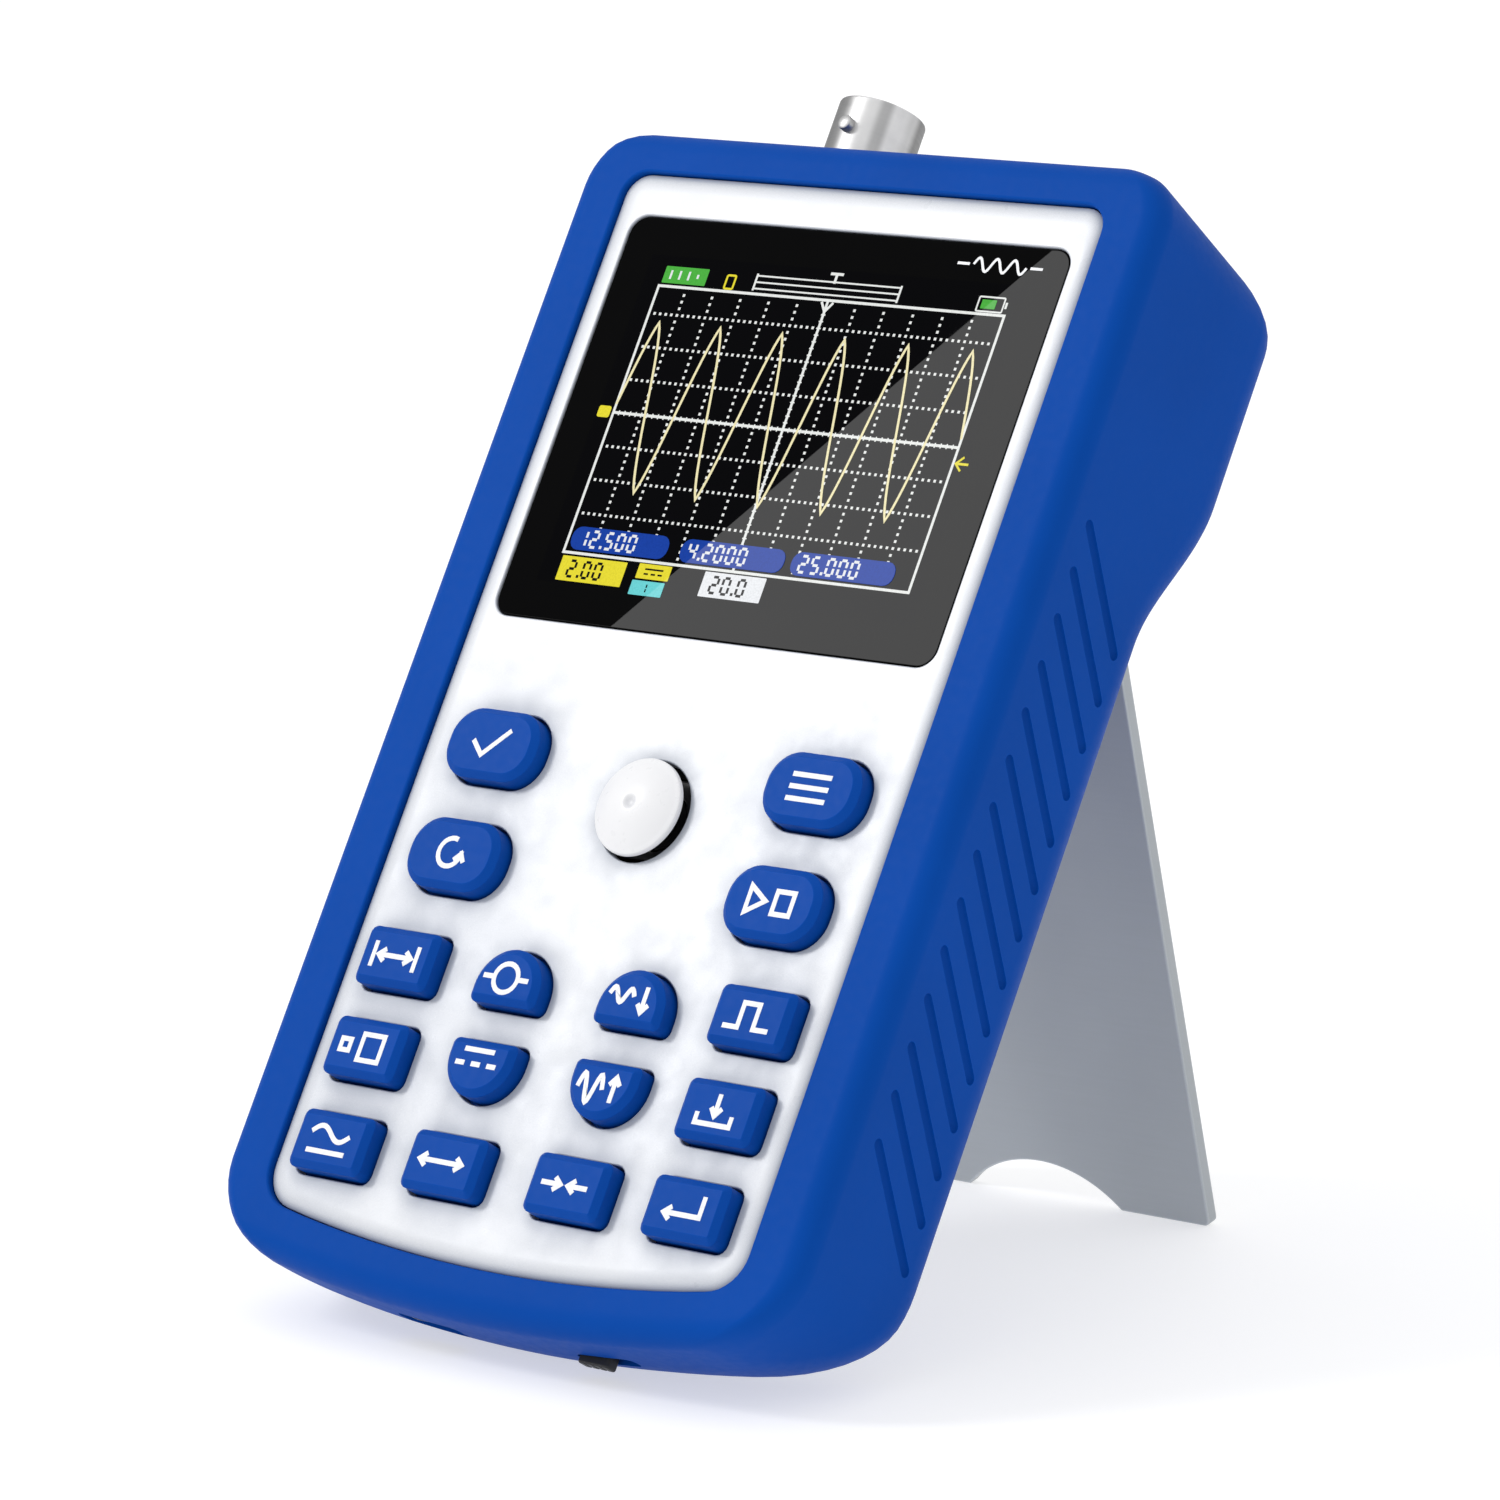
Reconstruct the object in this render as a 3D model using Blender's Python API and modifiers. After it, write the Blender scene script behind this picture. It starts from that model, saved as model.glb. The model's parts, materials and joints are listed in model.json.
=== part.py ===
"""Handheld oscilloscope with a keypad, a five-way control, a coaxial input socket and a fold-out stand.

The body is modelled in its own frame: X to the right, Y from the front face into the body and Z up
along the face. One empty then leans that frame back on the open stand. All lengths are in millimetres
until they reach a mesh, where MM turns them into metres.
"""

import math

import bmesh
import bpy
from mathutils import Matrix, Vector

MM = 0.001
GAP = 0.3
SHARP_ANGLE = math.radians(32)

# Body
LEAN_DEG = 31.0
BODY_HALF_WIDTH = 44.5
BODY_LENGTH = 149.9
THICK_DEPTH = 31.0
THIN_DEPTH = 25.0
STEP_TOP = 118.9
STEP_BOTTOM = 98.5
WALL = 2.2
FRONT_WALL = 3.4
FRONT_EDGE_RADIUS = 3.0
REAR_EDGE_RADIUS = 6.0
TOP_CORNER_RADIUS = 8.0
TOP_REAR_RADIUS = 6.0
BOTTOM_CORNER_RADIUS = 11.0
BOTTOM_REAR_RADIUS = 16.0
TOP_DROP = 5.5
TOP_BLEND = 30.0
BOTTOM_ARC = 210.0
BOTTOM_BLEND = 30.0

# Front panel and display
PANEL_HALF_WIDTH = 36.6
PANEL_TOP = 143.9
PANEL_BOTTOM = 6.2
PANEL_ARC = 196.0
PANEL_LOW_CORNER = 5.0
PANEL_TOP_CORNER = 3.2
PANEL_FRONT = 0.4
PANEL_BACK = 2.2
LEDGE_WIDTH = 2.2
LEDGE_FRONT = PANEL_BACK + GAP
GLASS_HALF_WIDTH = 33.67
GLASS_HEIGHT = 53.0
GLASS_CENTRE = 111.8
GLASS_FRONT = 0.6
GLASS_THICKNESS = 0.8
GLASS_RADIUS = 2.4
WINDOW_HALF_WIDTH = 30.5
WINDOW_HEIGHT = 46.5
DISPLAY_SIZE = (63.0, 2.8, 50.0)
DISPLAY_FRONT = PANEL_BACK + GAP

# Keys
KEY_FRONT = -2.1
KEY_FLANGE = 0.8
KEY_FLANGE_THICKNESS = 0.8
KEY_CHAMFER = 0.7
KEY_CLEARANCE = 0.35
BAR_KEY = (11.2, 7.3, 1.0)
OVAL_KEY = (13.8, 8.9, 4.0)
DOME_KEY_WIDTH = 10.0
DOME_KEY_HEIGHT = 7.0
OUTER_COLUMN = 27.2
INNER_COLUMN = 9.5
OVAL_COLUMN = 24.5
OVAL_ROWS = (68.25, 54.15)
KEY_ROWS = (40.45, 28.95, 17.15)

# Five-way control
NAV_HEIGHT = 63.4
NAV_PIVOT = 4.0
NAV_HOLE_RADIUS = 6.4
NAV_BASE_FRONT = 3.0
NAV_BASE_SIDE = 10.4
NAV_WELL_RADIUS = 4.2
NAV_WELL_FLOOR = 5.0
CAP_RADIUS = 6.1
CAP_TOP = -2.9
CAP_EDGE = -1.1
CAP_RIM = -0.7
CAP_BOTTOM = 1.2
CAP_NECK_RADIUS = 4.4
CAP_SOCKET_RADIUS = 1.85

# Boards and inner parts
SHEET_FRONT = 4.5
BOARD_FRONT = 5.6
BOARD_BACK = 7.2
BOARD_HALF_WIDTH = 40.0
BOARD_BOTTOM = 12.0
BOARD_TOP = 140.5
INNER_FRONT = BOARD_BACK + GAP

# Input socket
SOCKET_X = -13.2
SOCKET_Y = 14.2
SOCKET_TOP = 159.9
SOCKET_RADIUS = 5.5
SOCKET_BORE = 4.15
SOCKET_BORE_DEPTH = 9.0
SOCKET_BASE = 134.8
LUG_DEPTH = 4.1
LUG_RADIUS = 0.95
LUG_LENGTH = 1.9
SOCKET_BLOCK = (14.4, 13.0, 13.0)
SOCKET_FLANGE = 0.9

# Power switch and charging port
SWITCH_X = 13.5
SWITCH_Y = 9.1
SWITCH_KNOB = (4.6, 2.0)
SWITCH_PROUD = 0.5
SWITCH_TRAVEL = 3.0
PORT_X = -12.0
PORT_Y = 9.2
PORT_SIZE = (8.9, 3.2, 7.4)
PORT_WALL = 0.4
PORT_MOUTH_Z = 0.9
SWITCH_BODY = (11.5, 3.2, 3.6)
SWITCH_BODY_Z = 4.6

# Rear cover, its screws and the posts that they go into
COVER_HALF_WIDTH = 41.0
COVER_BOTTOM = 9.5
COVER_TOP = 137.0
COVER_FRONT = 16.0
COVER_CORNER = 6.0
SCREW_X = 36.8
SCREW_ROWS = (15.0, 130.5)
POST_RADIUS = 2.8
POST_SHORT_TOP = 1.0
POST_SHORT_BOTTOM = 2.2
SCREW_HEAD_RADIUS = 2.2
SCREW_HEAD_HEIGHT = 1.0
SCREW_HEAD_SUNK = 0.2
SCREW_SHANK_RADIUS = 1.0
SCREW_LENGTH = 8.0

# Stand
HINGE_Y = 27.6
HINGE_Z = 120.7
STAND_OPEN_DEG = 45.0
STAND_HALF_WIDTH = 25.6
STAND_LENGTH = 98.82
STAND_THICKNESS = 1.8
STAND_NOTCH_HALF = 12.0
STAND_NOTCH_DEPTH = 5.0
BARREL_RADIUS = 1.9
PIN_RADIUS = 0.85
PIN_CLEARANCE = 0.3
POCKET_HALF_WIDTH = 26.6
POCKET_FLOOR = 24.8
POCKET_TOP = 123.6
POCKET_BOTTOM = 99.0
BUMPER_X = 18.0
BUMPER_Z = 36.0
BUMPER_RADIUS = 3.0
BUMPER_TOP = 26.4


def clear_scene():
    for item in list(bpy.data.objects):
        bpy.data.objects.remove(item)


def make_collection(name):
    made = bpy.data.collections.new(name)
    bpy.context.scene.collection.children.link(made)
    return made


def make_material(name, colour, roughness, metallic=0.0):
    material = bpy.data.materials.new(name)
    material.use_nodes = True
    shader = material.node_tree.nodes["Principled BSDF"]
    shader.inputs["Base Color"].default_value = (*colour, 1.0)
    shader.inputs["Roughness"].default_value = roughness
    shader.inputs["Metallic"].default_value = metallic
    return material


# ---------------------------------------------------------------- outlines


def arc_points(centre, radius, start_deg, end_deg, steps):
    points = []
    for index in range(steps + 1):
        angle = math.radians(start_deg + (end_deg - start_deg) * index / steps)
        points.append((centre[0] + radius * math.cos(angle), centre[1] + radius * math.sin(angle)))
    return points


def rounded(corners, steps=4):
    """A closed outline through corners given as (x, z, radius), each rounded by its own radius."""
    points = []
    for index, (x, z, radius) in enumerate(corners):
        corner = Vector((x, z))
        if radius <= 0:
            points.append((x, z))
            continue
        before = Vector(corners[index - 1][:2]) - corner
        after = Vector(corners[(index + 1) % len(corners)][:2]) - corner
        half = before.angle(after) / 2
        reach = radius / math.tan(half)
        centre = corner + (before.normalized() + after.normalized()).normalized() * (radius / math.sin(half))
        first = corner + before.normalized() * reach - centre
        turn = math.pi - 2 * half
        turn = -turn if before.cross(after) > 0 else turn
        for step in range(steps + 1):
            spot = centre + Matrix.Rotation(turn * step / steps, 2) @ first
            points.append((spot.x, spot.y))
    return points


def box_outline(width, height, radius, steps=4):
    half, rise = width / 2, height / 2
    corners = [(-half, -rise, radius), (half, -rise, radius), (half, rise, radius), (-half, rise, radius)]
    return rounded(corners, steps)


def dome_outline(grow):
    """A flat lower side with a half-round upper side."""
    half = DOME_KEY_WIDTH / 2 + grow
    low = -DOME_KEY_HEIGHT / 2 - grow
    centre = (0.0, DOME_KEY_HEIGHT / 2 - DOME_KEY_WIDTH / 2)
    return [(-half, low), (half, low)] + arc_points(centre, half, 0, 180, 12)


def panel_outline(grow):
    """The front panel's outline: straight sides and top, and a bottom that bows downwards."""
    half = PANEL_HALF_WIDTH + grow
    low = PANEL_BOTTOM - grow
    corners = []
    for step in range(-4, 5):
        x = step * PANEL_HALF_WIDTH * 0.2
        corners.append((x, low + x * x / (2 * PANEL_ARC), 0))
    edge = low + half * half / (2 * PANEL_ARC)
    top = PANEL_TOP + grow
    wide = PANEL_LOW_CORNER + grow
    tight = PANEL_TOP_CORNER + grow
    corners += [(half, edge, wide), (half, top, tight), (-half, top, tight), (-half, edge, wide)]
    return rounded(corners)


# ------------------------------------------------------------------ meshes


def evaluated_mesh(item, name):
    bpy.context.view_layer.update()
    graph = bpy.context.evaluated_depsgraph_get()
    mesh = bpy.data.meshes.new_from_object(item.evaluated_get(graph))
    mesh.name = name
    return mesh


def mesh_from_bmesh(name, work):
    bmesh.ops.recalc_face_normals(work, faces=work.faces)
    mesh = bpy.data.meshes.new(name)
    work.to_mesh(mesh)
    work.free()
    return mesh


def plate_mesh(name, outline, front, back):
    """A flat plate with this outline in X and Z, from Y = front to Y = back."""
    curve = bpy.data.curves.new(name, "CURVE")
    curve.dimensions = "2D"
    curve.fill_mode = "BOTH"
    curve.extrude = (back - front) / 2 * MM
    spline = curve.splines.new("POLY")
    spline.points.add(len(outline) - 1)
    for point, (x, z) in zip(spline.points, outline):
        point.co = (x * MM, z * MM, 0, 1)
    spline.use_cyclic_u = True
    guide = bpy.data.objects.new(name, curve)
    bpy.context.scene.collection.objects.link(guide)
    mesh = evaluated_mesh(guide, name)
    bpy.data.objects.remove(guide)
    mesh.transform(Matrix.Translation((0, (front + back) / 2 * MM, 0)) @ Matrix.Rotation(math.pi / 2, 4, "X"))
    work = bmesh.new()
    work.from_mesh(mesh)
    bmesh.ops.remove_doubles(work, verts=work.verts, dist=0.00001)
    bpy.data.meshes.remove(mesh)
    return mesh_from_bmesh(name, work)


def box_mesh(name, size, edge=0.0):
    work = bmesh.new()
    bmesh.ops.create_cube(work, size=MM)
    bmesh.ops.scale(work, vec=size, verts=work.verts)
    if edge:
        edges = list(work.edges)
        bmesh.ops.bevel(work, geom=edges, offset=edge * MM, segments=2, profile=0.5, affect="EDGES")
    return mesh_from_bmesh(name, work)


def rod_mesh(name, radius, length, axis, segments=24):
    """A plain round rod centred on the origin, along X, Y or Z."""
    turn = {
        "X": Matrix.Rotation(math.pi / 2, 4, "Y"),
        "Y": Matrix.Rotation(math.pi / 2, 4, "X"),
        "Z": Matrix(),
    }
    work = bmesh.new()
    bmesh.ops.create_cone(
        work,
        cap_ends=True,
        segments=segments,
        radius1=radius * MM,
        radius2=radius * MM,
        depth=length * MM,
        matrix=turn[axis],
    )
    return mesh_from_bmesh(name, work)


def turned_mesh(name, profile, closed, steps):
    """A profile of (radius, height) points turned about Z, listed down its outer side."""
    count = len(profile)
    edges = [(index, index + 1) for index in range(count - 1)]
    if closed:
        edges.append((count - 1, 0))
    mesh = bpy.data.meshes.new(name + "_profile")
    mesh.from_pydata([(r * MM, 0, z * MM) for r, z in profile], edges, [])
    guide = bpy.data.objects.new(name, mesh)
    bpy.context.scene.collection.objects.link(guide)
    screw = guide.modifiers.new("turn", "SCREW")
    screw.steps = steps
    screw.render_steps = steps
    screw.use_merge_vertices = True
    screw.merge_threshold = 0.00001
    turned = evaluated_mesh(guide, name)
    bpy.data.objects.remove(guide)
    return turned


# ----------------------------------------------------------------- objects


class Builder:
    """Places each mesh as an object of the instrument, and its cutters in a collection of their own."""

    def __init__(self):
        self.parts = make_collection("handheld_oscilloscope")
        self.cutters = make_collection("cutters")
        self.root = bpy.data.objects.new("body_frame", None)
        self.parts.objects.link(self.root)

    def place(self, name, mesh, material, at=(0, 0, 0), turn=(0, 0, 0)):
        item = bpy.data.objects.new(name, mesh)
        self.parts.objects.link(item)
        item.parent = self.root
        item.location = Vector(at) * MM
        item.rotation_euler = turn
        if not mesh.materials:
            mesh.materials.append(material)
        mesh.shade_smooth()
        mesh.set_sharp_from_angle(angle=SHARP_ANGLE)
        return item

    def cutter(self, name, mesh, at=(0, 0, 0)):
        item = bpy.data.objects.new(name, mesh)
        self.cutters.objects.link(item)
        item.parent = self.root
        item.location = Vector(at) * MM
        item.hide_render = True
        item.display_type = "WIRE"
        return item

    def combine(self, item, other, operation):
        """Applies one Boolean, so that the object holds a plain mesh again."""
        step = item.modifiers.new(other.name, "BOOLEAN")
        step.operation = operation
        step.object = other
        material = item.data.materials[0] if item.data.materials else None
        mesh = evaluated_mesh(item, item.data.name)
        item.modifiers.clear()
        item.data = mesh
        mesh.materials.clear()
        if material:
            mesh.materials.append(material)
        mesh.shade_smooth()
        mesh.set_sharp_from_angle(angle=SHARP_ANGLE)
        return item


# ----------------------------------------------------------------- housing


def corner_drop(distance, radius):
    """How far a rounded end of this radius draws in, this far from the end."""
    if distance >= radius:
        return 0.0
    return radius - math.sqrt(radius * radius - (radius - max(distance, 0.0)) ** 2)


def rear_depth(z):
    """Depth of the back: thick behind the display, thinner behind the keypad."""
    t = min(max((z - STEP_BOTTOM) / (STEP_TOP - STEP_BOTTOM), 0.0), 1.0)
    return THIN_DEPTH + (THICK_DEPTH - THIN_DEPTH) * t * t * (3 - 2 * t)


def bent(x, y, z):
    """Curves the top end back and bows the bottom end, fading out towards the middle."""
    up = min(max((z - BODY_LENGTH + TOP_BLEND) / TOP_BLEND, 0.0), 1.0)
    down = min(max(1 - z / BOTTOM_BLEND, 0.0), 1.0)
    drop = TOP_DROP * (y / THICK_DEPTH) ** 2
    bow = x * x / (2 * BOTTOM_ARC)
    return Vector((x, y, z - drop * up + bow * down)) * MM


def chain(half, edge, radius, side, columns, steps):
    """One long side of a section from left to right: corner, straight run, corner."""
    inner = half - radius
    left = [(-inner - radius * math.cos(a), edge + side * radius * (1 - math.sin(a))) for a in quarter(steps)]
    run = [(-inner + 2 * inner * step / columns, edge) for step in range(1, columns)]
    return left + run + [(-x, y) for x, y in reversed(left)]


def quarter(steps):
    return [math.pi / 2 * step / steps for step in range(steps + 1)]


def stations(inset, steps):
    low = [BOTTOM_REAR_RADIUS * (1 - math.cos(a)) + inset for a in quarter(steps + 1)]
    high = [BODY_LENGTH - inset - TOP_CORNER_RADIUS * (1 - math.cos(a)) for a in quarter(steps)]
    count = steps + 1
    slope = [STEP_BOTTOM + (STEP_TOP - STEP_BOTTOM) * step / count for step in range(count + 1)]
    middle = [BOTTOM_BLEND, BODY_LENGTH - TOP_BLEND]
    return sorted(low + slope + middle + high)


def housing_mesh(name, wall, front_wall, columns, steps):
    """A loft of rounded sections along Z, drawn in on every side by the wall."""
    work = bmesh.new()
    rings = []
    for z in stations(wall, steps):
        above = BODY_LENGTH - wall - z
        below = z - wall
        half = BODY_HALF_WIDTH - wall
        half -= corner_drop(above, TOP_CORNER_RADIUS - wall)
        half -= corner_drop(below, BOTTOM_CORNER_RADIUS - wall)
        edge = max(FRONT_EDGE_RADIUS - front_wall, 0.8)
        front = front_wall + corner_drop(min(above, below), edge)
        rear = rear_depth(z) - wall - corner_drop(above, TOP_REAR_RADIUS - wall)
        rear -= corner_drop(below, BOTTOM_REAR_RADIUS - wall)
        most = (rear - front) * 0.48
        front_chain = chain(half, front, min(edge, most), 1, columns, steps)
        rear_chain = chain(half, rear, min(REAR_EDGE_RADIUS - wall, most), -1, columns, steps)
        rings.append(
            (
                [work.verts.new(bent(x, y, z)) for x, y in front_chain],
                [work.verts.new(bent(x, y, z)) for x, y in rear_chain],
            )
        )
    for lower, upper in zip(rings, rings[1:]):
        low = lower[0] + lower[1][::-1]
        high = upper[0] + upper[1][::-1]
        for index in range(len(low)):
            after = (index + 1) % len(low)
            work.faces.new((low[index], low[after], high[after], high[index]))
    for front_row, rear_row in (rings[0], rings[-1]):
        for index in range(len(front_row) - 1):
            work.faces.new((front_row[index], front_row[index + 1], rear_row[index + 1], rear_row[index]))
    return mesh_from_bmesh(name, work)


def pocket_block(name, grow):
    """The space around the hinge, drawn out by grow on every closed side."""
    front = POCKET_FLOOR - grow
    depth = THICK_DEPTH + 9 - front
    height = POCKET_TOP - POCKET_BOTTOM + 2 * grow
    mesh = box_mesh(name, (2 * (POCKET_HALF_WIDTH + grow), depth, height))
    return mesh, (0, front + depth / 2, (POCKET_TOP + POCKET_BOTTOM) / 2)


def cover_prism(name, shrink):
    height = COVER_TOP - COVER_BOTTOM - 2 * shrink
    outline = box_outline(2 * (COVER_HALF_WIDTH - shrink), height, COVER_CORNER - shrink)
    return plate_mesh(name, outline, COVER_FRONT, THICK_DEPTH + 9), (0, 0, (COVER_TOP + COVER_BOTTOM) / 2)


def screw_spots():
    return [(side * SCREW_X, row) for row in SCREW_ROWS for side in (-1, 1)]


def build_shell(make):
    """The hollow body with its hinge pocket, before it is parted into housing and cover."""
    cavity = make.cutter("cavity", housing_mesh("cavity", WALL, FRONT_WALL, 4, 3))
    make.combine(cavity, make.cutter("pocket_walls", *pocket_block("pocket_walls", WALL)), "DIFFERENCE")
    shell = make.cutter("shell", housing_mesh("shell", 0.0, 0.0, 8, 4))
    make.combine(shell, cavity, "DIFFERENCE")
    make.combine(shell, make.cutter("pocket", *pocket_block("pocket", 0.0)), "DIFFERENCE")
    return shell


def build_housing(make, shell, material):
    housing = make.place("housing", shell.data.copy(), material)
    make.combine(housing, make.cutter("rear_opening", *cover_prism("rear_opening", 0.0)), "DIFFERENCE")
    seat = plate_mesh("panel_seat", panel_outline(GAP), -2.0, LEDGE_FRONT)
    make.combine(housing, make.cutter("panel_seat", seat), "DIFFERENCE")
    window = plate_mesh("front_opening", panel_outline(GAP - LEDGE_WIDTH), -2.0, FRONT_WALL + 2)
    make.combine(housing, make.cutter("front_opening", window), "DIFFERENCE")
    hole = rod_mesh("socket_hole", SOCKET_RADIUS + 0.4, 14, "Z", 32)
    at = (SOCKET_X, SOCKET_Y, BODY_LENGTH - 3)
    make.combine(housing, make.cutter("socket_hole", hole, at), "DIFFERENCE")
    slot = plate_mesh("switch_slot", box_outline(SWITCH_KNOB[0] + SWITCH_TRAVEL + 0.8, 12, 0.0), -1.4, 1.4)
    at = (SWITCH_X + SWITCH_TRAVEL / 2, SWITCH_Y, 0)
    make.combine(housing, make.cutter("switch_slot", slot, at), "DIFFERENCE")
    port = plate_mesh("port_hole", box_outline(9.8, 12, 0.0), -2.0, 2.0)
    make.combine(housing, make.cutter("port_hole", port, (PORT_X, PORT_Y, 0)), "DIFFERENCE")
    for index, (x, z) in enumerate(screw_spots()):
        start = FRONT_WALL - 0.5
        end = rear_depth(z) - WALL - (POST_SHORT_TOP if z > STEP_TOP else POST_SHORT_BOTTOM)
        post = rod_mesh(f"post_{index}", POST_RADIUS, end - start, "Y")
        make.combine(housing, make.cutter(f"post_{index}", post, (x, (start + end) / 2, z)), "UNION")
        hole = rod_mesh(f"post_hole_{index}", SCREW_SHANK_RADIUS + GAP, 2 * SCREW_LENGTH, "Y", 12)
        make.combine(housing, make.cutter(f"post_hole_{index}", hole, (x, end, z)), "DIFFERENCE")
    return housing


def seat_depth(z):
    """Y of the floor under a screw head, below the outer face at that height."""
    drop = corner_drop(z - SCREW_X * SCREW_X / (2 * BOTTOM_ARC), BOTTOM_REAR_RADIUS)
    return rear_depth(z) - drop - SCREW_HEAD_HEIGHT - SCREW_HEAD_SUNK


def build_cover(make, shell, material):
    cover = make.place("rear_cover", shell.data.copy(), material)
    make.combine(cover, make.cutter("cover_outline", *cover_prism("cover_outline", GAP)), "INTERSECT")
    for index, (x, z) in enumerate(screw_spots()):
        seat = rod_mesh(f"head_seat_{index}", SCREW_HEAD_RADIUS + GAP, 10, "Y")
        at = (x, seat_depth(z) + 5 - GAP / 2, z)
        make.combine(cover, make.cutter(f"head_seat_{index}", seat, at), "DIFFERENCE")
        hole = rod_mesh(f"shank_hole_{index}", SCREW_SHANK_RADIUS + GAP, 20, "Y", 12)
        make.combine(cover, make.cutter(f"shank_hole_{index}", hole, (x, seat_depth(z), z)), "DIFFERENCE")
    bore = rod_mesh("pin_holes", PIN_RADIUS + PIN_CLEARANCE, 2 * (POCKET_HALF_WIDTH + WALL + 2), "X", 16)
    make.combine(cover, make.cutter("pin_holes", bore, (0, HINGE_Y, HINGE_Z)), "DIFFERENCE")
    for side in (-1, 1):
        seat = rod_mesh(f"bumper_seat_{side}", BUMPER_RADIUS + GAP, 3, "Y")
        at = (side * BUMPER_X, THIN_DEPTH - 0.4 + 1.5, BUMPER_Z)
        make.combine(cover, make.cutter(f"bumper_seat_{side}", seat, at), "DIFFERENCE")
    return cover


# ------------------------------------------------------------- front parts


def key_layout():
    """Every key as (name, kind, x, z, half-turned)."""
    keys = []
    for row, z in enumerate(OVAL_ROWS, 1):
        keys.append((f"key_oval_left_{row}", "oval", -OVAL_COLUMN, z, False))
        keys.append((f"key_oval_right_{row}", "oval", OVAL_COLUMN, z, False))
    for row, z in enumerate(KEY_ROWS, 1):
        inner = "bar" if row == 3 else "dome"
        flipped = row == 2
        keys.append((f"key_r{row}_c1", "bar", -OUTER_COLUMN, z, False))
        keys.append((f"key_r{row}_c2", inner, -INNER_COLUMN, z, flipped))
        keys.append((f"key_r{row}_c3", inner, INNER_COLUMN, z, flipped))
        keys.append((f"key_r{row}_c4", "bar", OUTER_COLUMN, z, False))
    return keys


def key_outline(kind, grow):
    if kind == "dome":
        return dome_outline(grow)
    width, height, radius = BAR_KEY if kind == "bar" else OVAL_KEY
    steps = 2 if kind == "bar" else 6
    return box_outline(width + 2 * grow, height + 2 * grow, radius + grow, steps)


def bevel_front(mesh, front, width):
    """Rounds the rim of the plate's front face."""
    work = bmesh.new()
    work.from_mesh(mesh)
    level = (front + 0.01) * MM
    caps = [face for face in work.faces if all(vert.co.y < level for vert in face.verts)]
    bmesh.ops.dissolve_faces(work, faces=caps)
    rim = [edge for edge in work.edges if all(vert.co.y < level for vert in edge.verts)]
    bmesh.ops.bevel(work, geom=rim, offset=width * MM, segments=2, profile=0.6, affect="EDGES")
    work.to_mesh(mesh)
    work.free()
    return mesh


def key_mesh(make, kind):
    """A key with a rounded front rim and the flange that holds it behind the panel."""
    flange_front = PANEL_BACK + GAP
    flange_back = flange_front + KEY_FLANGE_THICKNESS
    body = plate_mesh(f"key_{kind}", key_outline(kind, 0.0), KEY_FRONT, flange_front + 0.4)
    item = make.cutter(f"key_{kind}_form", bevel_front(body, KEY_FRONT, KEY_CHAMFER))
    flange = plate_mesh(f"flange_{kind}", key_outline(kind, KEY_FLANGE), flange_front, flange_back)
    make.combine(item, make.cutter(f"flange_{kind}", flange), "UNION")
    return item.data


def build_keys(make, materials):
    meshes = {kind: key_mesh(make, kind) for kind in ("bar", "oval", "dome")}
    for name, kind, x, z, flipped in key_layout():
        turn = (0, math.pi, 0) if flipped else (0, 0, 0)
        make.place(name, meshes[kind], materials["key"], (x, 0, z), turn)


def build_panel(make, material):
    mesh = plate_mesh("front_panel", panel_outline(0.0), PANEL_FRONT, PANEL_BACK)
    panel = make.place("front_panel", mesh, material)
    half = GLASS_HALF_WIDTH + GAP
    seat = box_outline(2 * half, GLASS_HEIGHT + 2 * GAP, GLASS_RADIUS + GAP)
    floor = GLASS_FRONT + GLASS_THICKNESS + GAP
    cut = make.cutter("glass_seat", plate_mesh("glass_seat", seat, -2.0, floor), (0, 0, GLASS_CENTRE))
    make.combine(panel, cut, "DIFFERENCE")
    window = plate_mesh("window", box_outline(2 * WINDOW_HALF_WIDTH, WINDOW_HEIGHT, 1.0), -2.0, 5.0)
    make.combine(panel, make.cutter("window", window, (0, 0, GLASS_CENTRE)), "DIFFERENCE")
    hole = rod_mesh("nav_hole", NAV_HOLE_RADIUS, 10, "Y", 40)
    make.combine(panel, make.cutter("nav_hole", hole, (0, 0, NAV_HEIGHT)), "DIFFERENCE")
    for name, kind, x, z, flipped in key_layout():
        mesh = plate_mesh(f"{name}_hole", key_outline(kind, KEY_CLEARANCE), -3.0, 5.0)
        cut = make.cutter(f"{name}_hole", mesh, (x, 0, z))
        cut.rotation_euler = (0, math.pi if flipped else 0, 0)
        make.combine(panel, cut, "DIFFERENCE")
    return panel


def build_display(make, materials):
    outline = box_outline(2 * GLASS_HALF_WIDTH, GLASS_HEIGHT, GLASS_RADIUS)
    glass = plate_mesh("display_glass", outline, GLASS_FRONT, GLASS_FRONT + GLASS_THICKNESS)
    make.place("display_glass", glass, materials["glass"], (0, 0, GLASS_CENTRE))
    at = (0, DISPLAY_FRONT + DISPLAY_SIZE[1] / 2, GLASS_CENTRE)
    make.place("display_module", box_mesh("display_module", DISPLAY_SIZE, 0.4), materials["display"], at)


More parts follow.
